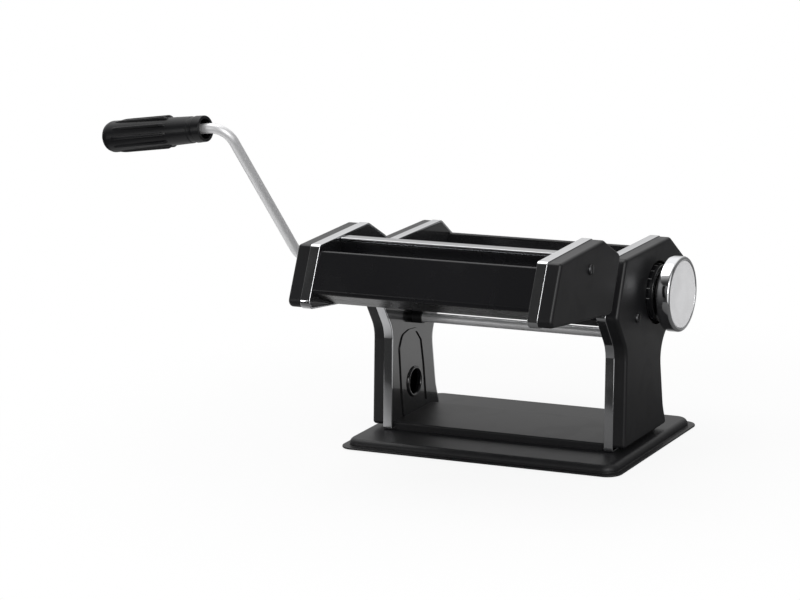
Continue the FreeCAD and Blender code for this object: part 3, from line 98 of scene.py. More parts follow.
class Wiring:
    """Adds nodes to one node tree and joins them."""

    def __init__(self, tree: NodeTree) -> None:
        """Start wiring a tree.

        Args:
            tree: The tree that gets the nodes.
        """
        self.tree = tree
        self._column = 0

    @classmethod
    def emptied(cls, owner: Material | World) -> Wiring:
        """Start wiring a material or world that gives up the nodes it had.

        Args:
            owner: The material or world.

        Returns:
            The wiring.
        """
        owner.use_nodes = True
        owner.node_tree.nodes.clear()
        return cls(owner.node_tree)

    def add(self, kind: str, values: dict | None = None, **settings: object) -> Node:
        """Add one node.

        Args:
            kind: The node's type name.
            values: What each input takes, by name or index; a socket is joined, anything else is set.
            **settings: Properties of the node itself.

        Returns:
            The new node.
        """
        node = self.tree.nodes.new(kind)
        node.location = (self._column * 200.0, -60.0 * (self._column % 4))
        self._column += 1
        for name, value in settings.items():
            setattr(node, name, value)
        for key, value in (values or {}).items():
            self.feed(node.inputs[key], value)
        return node

    def feed(self, socket: NodeSocket, value: object) -> None:
        """Join a socket to another, or set it.

        Args:
            socket: The input.
            value: An output socket or a plain value.
        """
        if isinstance(value, NodeSocket):
            self.tree.links.new(value, socket)
        else:
            socket.default_value = value

    def reckon(self, operation: str, first: object, second: object = 0.0) -> NodeSocket:
        """Return the result of one sum on numbers.

        Args:
            operation: The Math node's operation.
            first: A socket or a number.
            second: A socket or a number.

        Returns:
            The result's socket.
        """
        return self.add("ShaderNodeMath", {0: first, 1: second}, operation=operation).outputs[0]

    def noise(self, place: NodeSocket, scale: object, **values: float) -> NodeSocket:
        """Return noise from 0 to 1.

        Args:
            place: The coordinates it is drawn in.
            scale: How fine it is.
            **values: Other inputs of the noise, by name.

        Returns:
            The noise's socket.
        """
        node = self.add("ShaderNodeTexNoise", {"Vector": place, "Scale": scale, **values})
        return node.outputs["Fac"]

    def span(
        self, value: object, low: float, high: float, start: float = 0.0, end: float = 1.0
    ) -> NodeSocket:
        """Return a value carried from one range to another with soft ends.

        Args:
            value: The socket to carry over.
            low: Where the old range starts.
            high: Where the old range ends.
            start: What the old start becomes.
            end: What the old end becomes.

        Returns:
            The result's socket.
        """
        node = self.add("ShaderNodeMapRange", interpolation_type="SMOOTHSTEP")
        for socket, item in zip(node.inputs, (value, low, high, start, end)):
            self.feed(socket, item)
        return node.outputs[0]

    def blend_colours(self, share: object, first: object, second: object) -> NodeSocket:
        """Return a mix of two colours.

        Args:
            share: How much of the second colour shows.
            first: The first colour, with alpha.
            second: The second colour, with alpha.

        Returns:
            The mixed colour's socket.
        """
        node = self.add("ShaderNodeMix", {0: share, 6: first, 7: second}, data_type="RGBA")
        return node.outputs[2]

    def group(self, tree: NodeTree, **values: object) -> Node:
        """Add a shared effect.

        Args:
            tree: The effect's node group.
            **values: What each input takes, by name with _ for each space.

        Returns:
            The group's node.
        """
        named = {key.replace("_", " "): value for key, value in values.items()}
        return self.add("ShaderNodeGroup", named, node_tree=tree)

    def bump(self, height: NodeSocket, depth: float) -> NodeSocket:
        """Return the bump of surface marks.

        Args:
            height: The marks' height, from 0 to 1.
            depth: How deep they are.

        Returns:
            The bent normal's socket.
        """
        return self.add("ShaderNodeBump", {"Strength": 1.0, "Distance": depth, "Height": height}).outputs[0]


class SurfaceEffects:
    """Effects that several finishes share, each a shader node group built once."""

    TONE_RATE = 0.02
    SPECK_RATE = 45.0

    @staticmethod
    def _start(name: str, rate: str, usual: object, *outputs: str) -> tuple:
        """Open a new group that takes a place and a rate.

        Args:
            name: The group's name.
            rate: The name of the rate's input.
            usual: The rate's default, a number or one number for each axis.
            *outputs: Name of each output, all plain numbers.

        Returns:
            The wiring, the place's socket and the rate's socket.
        """
        tree = bpy.data.node_groups.new(name, "ShaderNodeTree")
        kind = "NodeSocketFloat" if isinstance(usual, float) else "NodeSocketVector"
        tree.interface.new_socket("Vector", in_out="INPUT", socket_type="NodeSocketVector")
        tree.interface.new_socket(rate, in_out="INPUT", socket_type=kind).default_value = usual
        for label in outputs:
            tree.interface.new_socket(label, in_out="OUTPUT", socket_type="NodeSocketFloat")
        wires = Wiring(tree)
        taken = wires.add("NodeGroupInput")
        return wires, taken.outputs[0], taken.outputs[1]

    @classmethod
    @cache
    def grain(cls) -> NodeTree:
        """Return the fine grain of moulded plastic, paint and rubber.

        Returns:
            The effect's node group.
        """
        wires, place, rate = cls._start("Surface grain", "Grains per Metre", 2000.0, "Height", "Tone")
        fine = wires.noise(place, rate, Detail=2.0, Roughness=0.55)
        slow = wires.noise(place, wires.reckon("MULTIPLY", rate, cls.TONE_RATE), Detail=3.0)
        wires.add("NodeGroupOutput", {"Height": fine, "Tone": wires.span(slow, low=0.32, high=0.68)})
        return wires.tree

    @classmethod
    @cache
    def tool_lines(cls) -> NodeTree:
        """Return the fine straight lines that grinding and rolling leave.

        Returns:
            The effect's node group.
        """
        wires, place, rate = cls._start("Tool lines", "Lines per Metre", (1, 1, 1), "Height", "Shade")
        drawn = wires.add("ShaderNodeVectorMath", {0: place, 1: rate}, operation="MULTIPLY")
        lines = wires.noise(drawn.outputs[0], 1.0, Detail=4.0, Roughness=0.7)
        wires.add("NodeGroupOutput", {"Height": lines, "Shade": wires.span(lines, low=0.3, high=0.7)})
        return wires.tree

    @classmethod
    @cache
    def handling(cls) -> NodeTree:
        """Return the faint smudges and dust of a machine that has been handled.

        Returns:
            The effect's node group.
        """
        wires, place, rate = cls._start("Handling marks", "Patches per Metre", 40.0, "Smudge", "Dust")
        patches = wires.noise(place, rate, Detail=4.0, Distortion=0.8)
        specks = wires.noise(place, wires.reckon("MULTIPLY", rate, cls.SPECK_RATE), Detail=1.0)
        smudge = wires.span(patches, low=0.45, high=0.72)
        dust = wires.reckon("MULTIPLY", wires.span(specks, low=0.66, high=0.74), smudge)
        wires.add("NodeGroupOutput", {"Smudge": smudge, "Dust": dust})
        return wires.tree


# ---- finishes


class Lay(Enum):
    """The way the tool marks run on a metal."""

    ALONG = "lines along X"
    AROUND = "lines round X"
    PLATED = "no lines, only the slight waves of plating"


class Finish:
    """A surface whose gloss is dulled where it has been handled; each kind adds the rest."""

    name: str
    colour: Colour
    roughness: float
    swing: float
    patches: float

    def tones(self, darker: float, lighter: float) -> list[tuple[float, ...]]:
        """Return the colour made darker and made lighter.

        Args:
            darker: The share taken off.
            lighter: The share put on.

        Returns:
            Both colours with alpha, no channel above 1.
        """
        factors = (1 - darker, 1 + lighter)
        return [tuple(min(1.0, channel * factor) for channel in self.colour) + (1.0,) for factor in factors]

    def inputs(self, wires: Wiring, place: NodeSocket, touch: Node) -> dict:
        """Return what the shader takes beside its roughness.

        Args:
            wires: The material's wiring.
            place: The Object coordinates.
            touch: The handling marks.

        Returns:
            The values and sockets by the inputs' names.
        """
        raise NotImplementedError

    def material(self) -> Material:
        """Build the material.

        Returns:
            The new material.
        """
        material = bpy.data.materials.new(self.name)
        wires = Wiring.emptied(material)
        place = wires.add("ShaderNodeTexCoord").outputs["Object"]
        touch = wires.group(SurfaceEffects.handling(), Vector=place, Patches_per_Metre=self.patches)
        rough = wires.span(touch.outputs["Smudge"], 0.0, 1.0, self.roughness, self.roughness + self.swing)
        values = {"Roughness": rough} | self.inputs(wires, place, touch)
        shader = wires.add("ShaderNodeBsdfPrincipled", values)
        wires.add("ShaderNodeOutputMaterial", {"Surface": shader.outputs[0]})
        return material


@dataclass(frozen=True)
class CoatedFinish(Finish):
    """Moulded plastic, paint or rubber: one colour with a grain and a gloss."""

    name: str
    colour: Colour
    roughness: float
    grains: float
    depth: float
    tone: float = 0.12
    swing: float = 0.05
    specular: float = 0.5
    coat: float = 0.0
    coat_roughness: float = 0.08
    patches: float = 35.0
    dust: float = 0.02

    def inputs(self, wires: Wiring, place: NodeSocket, touch: Node) -> dict:
        """Return what the shader takes for a grained and slightly dusty colour.

        Args:
            wires: The material's wiring.
            place: The Object coordinates.
            touch: The handling marks.

        Returns:
            The values and sockets by the inputs' names.
        """
        grain = wires.group(SurfaceEffects.grain(), Vector=place, Grains_per_Metre=self.grains)
        toned = wires.blend_colours(grain.outputs["Tone"], *self.tones(self.tone, self.tone))
        dusty = wires.reckon("MULTIPLY", touch.outputs["Dust"], self.dust)
        return {
            "Base Color": wires.blend_colours(dusty, toned, DUST_COLOUR),
            "Normal": wires.bump(grain.outputs["Height"], self.depth),
            "Specular IOR Level": self.specular,
            "Coat Weight": self.coat,
            "Coat Roughness": self.coat_roughness,
        }


@dataclass(frozen=True)
class MetalFinish(Finish):
    """Bare or plated metal with the marks of how it was made."""

    name: str
    colour: Colour
    roughness: float
    lay: Lay
    lines: float = 4000.0
    depth: float = 1.5e-6
    shade: float = 0.06
    swing: float = 0.05
    patches: float = 40.0
    metal: float = 1.0
    stretch: float = 0.008
    lightening: float = 0.4

    def inputs(self, wires: Wiring, place: NodeSocket, touch: Node) -> dict:
        """Return what the shader takes for metal with its tool marks or plating.

        Args:
            wires: The material's wiring.
            place: The Object coordinates.
            touch: The handling marks.

        Returns:
            The values and sockets by the inputs' names.
        """
        if self.lay is Lay.PLATED:
            marks = wires.group(SurfaceEffects.grain(), Vector=place, Grains_per_Metre=self.lines)
        else:
            fine, coarse = self.lines, self.lines * self.stretch
            scales = (coarse, fine, fine) if self.lay is Lay.ALONG else (fine, coarse, coarse)
            marks = wires.group(SurfaceEffects.tool_lines(), Vector=place, Lines_per_Metre=scales)
        tones = self.tones(self.shade, self.shade * self.lightening)
        return {
            "Base Color": wires.blend_colours(marks.outputs[1], *tones),
            "Normal": wires.bump(marks.outputs["Height"], self.depth),
            "Metallic": self.metal,
        }


COVER_PLASTIC = CoatedFinish("Satin moulded cover", (0.008, 0.008, 0.009), 0.38, 1500.0, 1.2e-5, specular=0.4)
GLOSS_ENAMEL = CoatedFinish(
    "Gloss black enamel", (0.009, 0.009, 0.010), 0.2, 350.0, 2e-6, coat=1.0, coat_roughness=0.05
)
SHEET_ENAMEL = CoatedFinish("Black enamelled sheet", (0.006, 0.006, 0.007), 0.26, 500.0, 5e-6, specular=0.3)
BASE_ENAMEL = CoatedFinish(
    "Black enamelled base", (0.007, 0.007, 0.008), 0.46, 600.0, 8e-6, swing=0.02, specular=0.45
)
SOFT_RUBBER = CoatedFinish("Grey black rubber", (0.02, 0.02, 0.02), 0.75, 1200.0, 3e-5, specular=0.3)
DULL_BLACK = CoatedFinish("Dull black fittings", (0.012, 0.012, 0.013), 0.42, 1800.0, 1e-5)
DIAL_PLASTIC = CoatedFinish("Gloss dial plastic", (0.008, 0.008, 0.009), 0.16, 700.0, 4e-6, coat=0.3)
GRIP_PLASTIC = CoatedFinish("Grip plastic", (0.005, 0.005, 0.006), 0.36, 1600.0, 8e-6, specular=0.35)
MARK_PAINT = CoatedFinish("Pale mark paint", (0.22, 0.22, 0.22), 0.5, 2500.0, 4e-6, dust=0.0)
KNOB_FACE = CoatedFinish("Silver knob face", (0.72, 0.72, 0.73), 0.42, 2200.0, 3e-5, tone=0.05, dust=0.0)
STRIP_METAL = MetalFinish("Satin strip metal", (0.5, 0.5, 0.51), 0.16, Lay.ALONG, 3000.0, 1e-6, 0.05)
TRIM_CHROME = MetalFinish("Bright chrome", (0.82, 0.825, 0.84), 0.07, Lay.PLATED, 60.0, 2e-5, 0.03, 0.06)
DARK_SCREW = MetalFinish("Blackened screw", (0.14, 0.14, 0.145), 0.28, Lay.PLATED, 400.0, 4e-6, 0.1)
ROLLER_STEEL = MetalFinish("Ground roller steel", (0.55, 0.56, 0.58), 0.2, Lay.AROUND, 5000.0, 1.2e-6, 0.05)
GEAR_STEEL = MetalFinish("Cut gear steel", (0.45, 0.45, 0.46), 0.3, Lay.ALONG, 3500.0, 3e-6, 0.12)
CRANK_STEEL = MetalFinish(
    "Satin bright steel", (0.86, 0.86, 0.87), 0.4, Lay.PLATED, 200.0, 2e-6, 0.03, metal=0.6
)


# ---- pieces


@dataclass
class Workbench:
    """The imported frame, with the ways a piece is made and handed to it."""

    nodes: dict[str, Object]
    joints: dict[str, dict]
    bodies: dict[str, str]

    @classmethod
    def from_frame(cls, frame: dict) -> Workbench:
        """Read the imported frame.


        Returns:
            The workbench.
        """
        joints = {joint["name"]: joint for joint in frame["joints"]}
        carriers = {
            node: body for body, members in frame["record"]["behaviour"]["bodies"].items() for node in members
        }
        return cls(frame["nodes"], joints, carriers)

    def dress(self, material: Material, *names: str) -> None:
        """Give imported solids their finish.

        Args:
            material: The finish.
            *names: The nodes that get it.
        """
        for name in names:
            solid = self.nodes[name]
            if not solid.material_slots:
                solid.data.materials.append(material)
            for place in solid.material_slots:
                place.material = material
            log.info("%s: %s", name, material.name)

    def hand_over(self, piece: Object, body: str, slot: str | None, *stands_for: str) -> Object:
        """Let a finished piece ride on its body.

        Args:
            piece: The piece, in place.
            body: The body that carries it.
            slot: The record's material slot, or None where there is none; not used.
            *stands_for: The nodes that it replaces.

        Returns:
            The piece.
        """
        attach(piece, body)
        if stands_for:
            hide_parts(*stands_for)
        log.info("%s rides on %s and stands for %s", piece.name, body, ", ".join(stands_for) or "nothing")
        return piece

    def softened(
        self, node: str, name: str, material: Material, slot: str, width: float, segments: int = 2
    ) -> Object:
        """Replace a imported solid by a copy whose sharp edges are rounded.

        Args:
            node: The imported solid.
            name: The new piece's name.
            material: Its finish.
            slot: The record's material slot.
            width: How wide the rounding is.
            segments: How many faces the rounding has.

        Returns:
            The new piece.
        """
        shell = bmesh.new()
        shell.from_mesh(self.nodes[node].data)
        bmesh.ops.remove_doubles(shell, verts=shell.verts, dist=WELD_REACH)
        bmesh.ops.dissolve_limit(
            shell, angle_limit=FLAT_ANGLE, verts=shell.verts, edges=shell.edges, delimit=set()
        )
        mesh = finished_mesh(shell, name + ".source")
        mesh.polygons.foreach_set("use_smooth", [True] * len(mesh.polygons))
        source = linked(mesh.name, mesh)
        edges = source.modifiers.new("Rounded edges", "BEVEL")
        edges.width = width
        edges.segments = segments
        edges.limit_method = "ANGLE"
        edges.angle_limit = EDGE_ANGLE
        edges.miter_outer = "MITER_ARC"
        normals = source.modifiers.new("Flat faces stay flat", "WEIGHTED_NORMAL")
        normals.weight = FLAT_WEIGHT
        piece = bake(source, name, material, None)
        return self.hand_over(piece, self.bodies[node], slot, node)


def linked(name: str, data: bpy.types.ID) -> Object:
    """Return a new object that stands in the scene.

    Args:
        name: The object's name.
        data: Its mesh, lamp or lens.

    Returns:
        The object.
    """
    item = bpy.data.objects.new(name, data)
    bpy.context.scene.collection.objects.link(item)
    return item


def finished_mesh(shape: bmesh.types.BMesh, name: str) -> Mesh:
    """Write a shape that was built in code to a mesh.

    Args:
        shape: The shape, which is freed.
        name: The mesh's name.

    Returns:
        The mesh.
    """
    mesh = bpy.data.meshes.new(name)
    shape.to_mesh(mesh)
    shape.free()
    return mesh


def bake(
    source: Object, name: str, material: Material, crease: float | None
) -> Object:
    """Turn an object with live modifiers into a plain mesh piece.

    Args:
        source: The object, which is removed.
        name: The piece's name.
        material: The piece's finish.
        crease: Edges over this many degrees stay sharp, or None to keep the mesh's own normals.

    Returns:
        The new piece, with its place in its mesh.
    """
    graph = bpy.context.evaluated_depsgraph_get()
    mesh = bpy.data.meshes.new_from_object(source.evaluated_get(graph), depsgraph=graph)
    source_mesh = source.data
    bpy.data.objects.remove(source)
    bpy.data.meshes.remove(source_mesh)
    mesh.name = name
    return piece_from_mesh(mesh, name, material, crease)


def piece_from_mesh(
    mesh: Mesh, name: str, material: Material, crease: float | None
) -> Object:
    """Make a piece from a mesh.

    Args:
        mesh: The mesh, in place.
        name: The piece's name.
        material: The piece's finish.
        crease: Edges over this many degrees stay sharp, or None to keep the mesh's own normals.

    Returns:
        The new piece.
    """
    mesh.materials.clear()
    mesh.materials.append(material)
    if crease is not None:
        mesh.polygons.foreach_set("use_smooth", [True] * len(mesh.polygons))
        mesh.set_sharp_from_angle(angle=math.radians(crease))
    return linked(name, mesh)


def turned_mesh(
    name: str, profile: list[tuple[float, float]], segments: int, closed: bool = False
) -> Mesh:
    """Turn a profile round the Z axis.

    Args:
        name: The mesh's name.
        profile: Radius and height of each corner.
        segments: How many steps go round.
        closed: Whether the last corner joins the first, as on a ring.

    Returns:
        The mesh, with its faces outwards.
    """
    shape = bmesh.new()
    rings = []
    for radius, height in profile:
        if radius < ON_AXIS:
            rings.append([shape.verts.new((0.0, 0.0, height))])
            continue
        turns = [2 * math.pi * step / segments for step in range(segments)]
        rings.append([shape.verts.new((radius * math.cos(a), radius * math.sin(a), height)) for a in turns])
    pairs = list(zip(rings, rings[1:])) + ([(rings[-1], rings[0])] if closed else [])
    for low, high in pairs:
        for step in range(segments):
            after = (step + 1) % segments
            around = ((low, step), (low, after), (high, after), (high, step))
            unique = list(dict.fromkeys(ring[turn % len(ring)] for ring, turn in around))
            if len(unique) > 2:
                shape.faces.new(unique)
    bmesh.ops.recalc_face_normals(shape, faces=shape.faces)
    return finished_mesh(shape, name)


def in_metres(corners: tuple[Corner, ...]) -> list[Corner]:
    """Return a profile that is given in millimetres in metres.

    Args:
        corners: Radius, height and rounding of each corner.

    Returns:
        The same corners in metres.
    """
    return [tuple(item * MM for item in corner) for corner in corners]


def rounded_profile(corners: list[Corner], steps: int) -> list[tuple[float, float]]:
    """Round the corners of a profile.

    Args:
        corners: Radius, height and rounding of each corner.
        steps: How many points a rounded corner gets beyond its first.

    Returns:
        The profile's points.
    """
    points: list[tuple[float, float]] = []
    last = len(corners) - 1
    for index, (radius, height, rounding) in enumerate(corners):
        here = Vector((radius, height))
        if rounding == 0 or index in (0, last):
            points.append((radius, height))
            continue
        before = (Vector(corners[index - 1][:2]) - here).normalized()
        after = (Vector(corners[index + 1][:2]) - here).normalized()
        for step in range(steps + 1):
            share = step / steps
            start, end = here + before * rounding, here + after * rounding
            bent = start * (1 - share) ** 2 + here * 2 * share * (1 - share) + end * share**2
            points.append((bent.x, bent.y))
    return points


# ---- repeated work


class Recipe:
    """A geometry node tree with named inputs, built in code."""

    def __init__(self, name: str) -> None:
        """Open the tree.

        Args:
            name: The tree's name.
        """
        self.tree = bpy.data.node_groups.new(name, "GeometryNodeTree")
        self.tree.interface.new_socket("Geometry", in_out="INPUT", socket_type="NodeSocketGeometry")
        self.tree.interface.new_socket("Geometry", in_out="OUTPUT", socket_type="NodeSocketGeometry")
        self.wires = Wiring(self.tree)
        self.taken = self.wires.add("NodeGroupInput")

    def entries(self, kind: str, *names: str) -> list[NodeSocket]:
        """Add named inputs.

        Args:
            kind: What they take, such as Float.
            *names: Their names.

        Returns:
            The sockets that give their values inside the tree.
        """
        for name in names:
            self.tree.interface.new_socket(name, in_out="INPUT", socket_type=f"NodeSocket{kind}")
        return [self.taken.outputs[name] for name in names]

    def copies(self, points: Node, angle: NodeSocket | None = None) -> NodeSocket:
        """Set the template on points.

        Args:
            points: The node that makes the points.
            angle: How far each copy is turned about Z, or None.

        Returns:
            The copies' socket.
        """
        values = {"Points": points.outputs[0], "Instance": self.taken.outputs[0]}
        if angle is not None:
            values["Rotation"] = self.wires.add("ShaderNodeCombineXYZ", {2: angle}).outputs[0]
        return self.wires.add("GeometryNodeInstanceOnPoints", values).outputs[0]

    def close(self, instances: NodeSocket) -> None:
        """End the tree in plain geometry with its finish.

        Args:
            instances: The geometry that is handed out.
        """
        (finish,) = self.entries("Material", "Finish")
        real = self.wires.add("GeometryNodeRealizeInstances", {0: instances})
        dressed = self.wires.add("GeometryNodeSetMaterial", {"Geometry": real.outputs[0], "Material": finish})
        self.wires.add("NodeGroupOutput", {0: dressed.outputs[0]})

    def make(
        self, template: Mesh, name: str, material: Material, crease: float, **values: object
    ) -> Object:
        """Run the tree on a template.

        Args:
            template: The mesh that is repeated.
            name: The new piece's name.
            material: Its finish.
            crease: Edges over this many degrees stay sharp.
            **values: The inputs, by name with _ for each space.

        Returns:
            The new piece as a plain mesh.
        """
        source = linked(name + ".template", template)
        work = source.modifiers.new("Recipe", "NODES")
        work.node_group = self.tree
        wanted = {key.replace("_", " "): value for key, value in values.items()} | {"Finish": material}
        for item in self.tree.interface.items_tree:
            if item.in_out == "INPUT" and item.name in wanted:
                work[item.identifier] = wanted[item.name]
        bpy.context.view_layer.update()
        return bake(source, name, material, crease)


def ring_recipe() -> Recipe:
    """Return the recipe that repeats a template round its Z axis and carries the set to an axis.

    Returns:
        The recipe, ready to be made.
    """
    recipe = Recipe("Repeat round an axis")
    (count,) = recipe.entries("Int", "Count")
    start, step = recipe.entries("Float", "Start Angle", "Step Angle")
    turn, centre = recipe.entries("Vector", "Axis Turn", "Centre")
    wires = recipe.wires
    points = wires.add("GeometryNodeMeshLine", {"Count": count, "Offset": (0.0, 0.0, 0.0)})
    passed = wires.reckon("MULTIPLY", wires.add("GeometryNodeInputIndex").outputs[0], step)
    copies = recipe.copies(points, wires.reckon("ADD", passed, start))
    moved = wires.add("GeometryNodeTransform", {"Geometry": copies, "Translation": centre, "Rotation": turn})
    recipe.close(moved.outputs[0])
    return recipe


def pair_recipe() -> Recipe:
    """Return the recipe that sets a template, made pointing at +X, on both sides of the machine.

    Returns:
        The recipe, ready to be made.
    """
    recipe = Recipe("Pair across the machine")
    reach, back, height = recipe.entries("Float", "Reach", "Back", "Height")
    wires = recipe.wires
    start = wires.add("ShaderNodeCombineXYZ", {0: reach, 1: back, 2: height})
    stride = wires.add("ShaderNodeCombineXYZ", {0: wires.reckon("MULTIPLY", reach, -2.0)})
    points = wires.add(
        "GeometryNodeMeshLine", {"Count": 2, "Start Location": start.outputs[0], "Offset": stride.outputs[0]}
    )
    half_turn = wires.reckon("MULTIPLY", wires.add("GeometryNodeInputIndex").outputs[0], math.pi)
    recipe.close(recipe.copies(points, half_turn))
    return recipe


def corners_recipe() -> Recipe:
    """Return the recipe that sets a template at the four corners of a rectangle.

    Returns:
        The recipe, ready to be made.
    """
    recipe = Recipe("Four corners")
    width, length = recipe.entries("Float", "Width", "Length")
    points = recipe.wires.add(
        "GeometryNodeMeshGrid", {"Size X": width, "Size Y": length, "Vertices X": 2, "Vertices Y": 2}
    )
    recipe.close(recipe.copies(points))
    return recipe


# ---- stage


@dataclass(frozen=True)
class Zone:
    """A side of the studio whose level changes the further a ray or a place lies its way."""

    toward: Point
    low: float
    high: float
    start: float
    end: float

    def level(self, wires: Wiring, pointer: NodeSocket) -> NodeSocket:
        """Return the zone's level.

        Args:
            wires: The wiring of the floor's or the world's tree.
            pointer: The ray's direction or the place.

        Returns:
            The level's socket.
        """
        along = wires.add("ShaderNodeVectorMath", {0: pointer, 1: self.toward}, operation="DOT_PRODUCT")
        return wires.span(along.outputs["Value"], self.low, self.high, self.start, self.end)


@dataclass(frozen=True)
class Softbox:
    """One soft rectangular lamp."""

    name: str
    place: Point
    width: float
    length: float
    watts: float

    def hang(self, aim: Point) -> None:
        """Hang the lamp.

        Args:
            aim: The point it faces.
        """
        lamp = bpy.data.lights.new(self.name, "AREA")
        lamp.shape = "RECTANGLE"
        lamp.size = self.width
        lamp.size_y = self.length
        lamp.energy = self.watts
        holder = linked(self.name, lamp)
        holder.location = self.place
        holder.rotation_euler = (Vector(aim) - Vector(self.place)).to_track_quat("-Z", "Y").to_euler()


# Painted shade on the floor as mirrors see it: its colour is darker toward +X and -Y and lighter toward -X
# and +Y.
MIRRORED_FLOOR_SHADE = Zone((1.0, -0.8, 0.0), -0.12, 0.05, 0.6, 0.08)
MIRRORED_STUDIO = (
    Zone((-0.325, 0.375, 0.75), 0.32, 0.95, 0.03, 1.05),
    Zone((0.0, 1.0, 0.0), 0.2, 0.85, 0.0, 0.16),
    Zone((0.75, -0.55, 0.3), 0.6, 0.92, 0.0, 0.95),
)
SOFTBOXES = (
    Softbox("Overhead softbox", (-0.5, -0.02, 1.35), 1.0, 0.8, 5.0),
    Softbox("Side softbox", (1.2, -1.3, 0.9), 0.6, 1.0, 9.0),
    Softbox("Front softbox", (-1.1, -1.5, 0.35), 0.5, 0.5, 2.5),
)


@dataclass
class StudioStage:
    """The pale floor, the soft light and the camera."""

    floor_half: float = 0.42
    floor_pale: float = 0.9
    floor_glow: float = 0.88
    fade_start: float = 0.2
    fade_share: float = 0.95
    mirrored_glow: float = 0.05
    mirrored_most: float = 1.1
    plain_level: float = 0.7
    lamp_aim: Point = (0.0, -0.05, 0.1)
    lens: float = 142.487
    sensor: float = 36.0
    nearest: float = 0.05
    farthest: float = 50.0
    azimuth: float = 27.5
    elevation: float = 12.94
    roll: float = -1.86
    target: Point = (-0.02549, -0.12185, 0.12119)
    distance: float = 2.04809

    @staticmethod
    def _ray_kinds(wires: Wiring) -> tuple[NodeSocket, NodeSocket]:
        """Return which rays come from the camera and which from a mirror or through glass.

        Args:
            wires: The wiring of the floor's or the world's tree.

        Returns:
            The camera's socket and the mirrored rays' socket.
        """
        path = wires.add("ShaderNodeLightPath")
        mirrored = wires.reckon("MAXIMUM", path.outputs["Is Glossy Ray"], path.outputs["Is Transmission Ray"])
        return path.outputs["Is Camera Ray"], mirrored

    def lay_floor(self) -> None:
        """Lay the pale floor, which keeps the shadow and fades into the white background; mirrors see its
        colour with painted shade, darker toward +X and -Y.
        """
        shape = bmesh.new()
        bmesh.ops.create_grid(shape, x_segments=1, y_segments=1, size=self.floor_half)
        mesh = finished_mesh(shape, "studio_floor")
        material = bpy.data.materials.new("Pale floor")
        wires = Wiring.emptied(material)
        camera, mirrored = self._ray_kinds(wires)
        place = wires.add("ShaderNodeTexCoord").outputs["Object"]
        outward = wires.add("ShaderNodeVectorMath", {0: place}, operation="LENGTH").outputs["Value"]
        shown = wires.span(outward, self.fade_start, self.floor_half * self.fade_share, self.floor_glow, 1.0)
        # Mirrored rays see the floor's colour with painted shade by place; the camera sees it evenly pale.
        painted_floor_shade = MIRRORED_FLOOR_SHADE.level(wires, place)
        tone = wires.add("ShaderNodeMix", {0: mirrored, 2: self.floor_pale, 3: painted_floor_shade}, data_type="FLOAT")
        grey = wires.add("ShaderNodeCombineColor", {item: tone.outputs[0] for item in range(3)})
        matt = wires.add("ShaderNodeBsdfDiffuse", {"Color": grey.outputs[0]})
        glow = wires.add("ShaderNodeEmission", {"Color": WHITE, "Strength": 1.0})
        direct = wires.reckon("MULTIPLY", camera, shown)
        share = wires.reckon("ADD", direct, wires.reckon("MULTIPLY", mirrored, self.mirrored_glow))
        mixed = wires.add("ShaderNodeMixShader", {0: share, 1: matt.outputs[0], 2: glow.outputs[0]})
        wires.add("ShaderNodeOutputMaterial", {"Surface": mixed.outputs[0]})
        floor = piece_from_mesh(mesh, "studio_floor", material, crease=30.0)

    def light_world(self) -> None:
        """Surround the machine with plain soft light; mirrors see a studio with bright and dark sides."""
        world = bpy.data.worlds.new("Studio")
        bpy.context.scene.world = world
        wires = Wiring.emptied(world)
        camera, mirrored = self._ray_kinds(wires)
        direction = wires.add("ShaderNodeTexCoord").outputs["Generated"]
        total: object = 0.0
        for zone in MIRRORED_STUDIO:
            total = wires.reckon("ADD", total, zone.level(wires, direction))
        seen = wires.reckon("MINIMUM", total, self.mirrored_most)
        lit = wires.add("ShaderNodeMix", {0: mirrored, 2: self.plain_level, 3: seen}, data_type="FLOAT")
        level = wires.add("ShaderNodeMix", {0: camera, 2: lit.outputs[0], 3: 1.0}, data_type="FLOAT")
        white = wires.add("ShaderNodeBackground", {"Color": WHITE, "Strength": level.outputs[0]})
        wires.add("ShaderNodeOutputWorld", {"Surface": white.outputs[0]})

    def set_camera(self) -> None:
        """Set the camera at the wanted view."""
        turn, rise, tilt = (math.radians(item) for item in (self.azimuth, self.elevation, self.roll))
        back = Vector((math.sin(turn) * math.cos(rise), -math.cos(turn) * math.cos(rise), math.sin(rise)))
        right = (-back).cross(Vector((0, 0, 1))).normalized()
        above = right.cross(-back)
        across = right * math.cos(tilt) + above * math.sin(tilt)
        upright = above * math.cos(tilt) - right * math.sin(tilt)
        lens = bpy.data.cameras.new("View")
        lens.lens = self.lens
        lens.sensor_width = self.sensor
        lens.sensor_fit = "HORIZONTAL"
        lens.clip_start = self.nearest
        lens.clip_end = self.farthest
        camera = linked("View", lens)
        place = Vector(self.target) + back * self.distance
        facing = Matrix((across, upright, back)).transposed().to_4x4()
        camera.matrix_world = Matrix.Translation(place) @ facing
        bpy.context.scene.camera = camera

    def build(self) -> None:
        """Build the whole stage."""
        self.lay_floor()
        self.light_world()
        for softbox in SOFTBOXES:
            softbox.hang(self.lamp_aim)
        self.set_camera()
        bpy.context.scene.view_settings.view_transform = "Standard"


# ---- sub-assemblies


class SubAssembly:
    """A part of the machine that dresses its own solids and makes its shaped pieces."""

    def build(self, bench: Workbench) -> None:
        """Dress the part.

        Args:
            bench: The workbench.
        """
        raise NotImplementedError


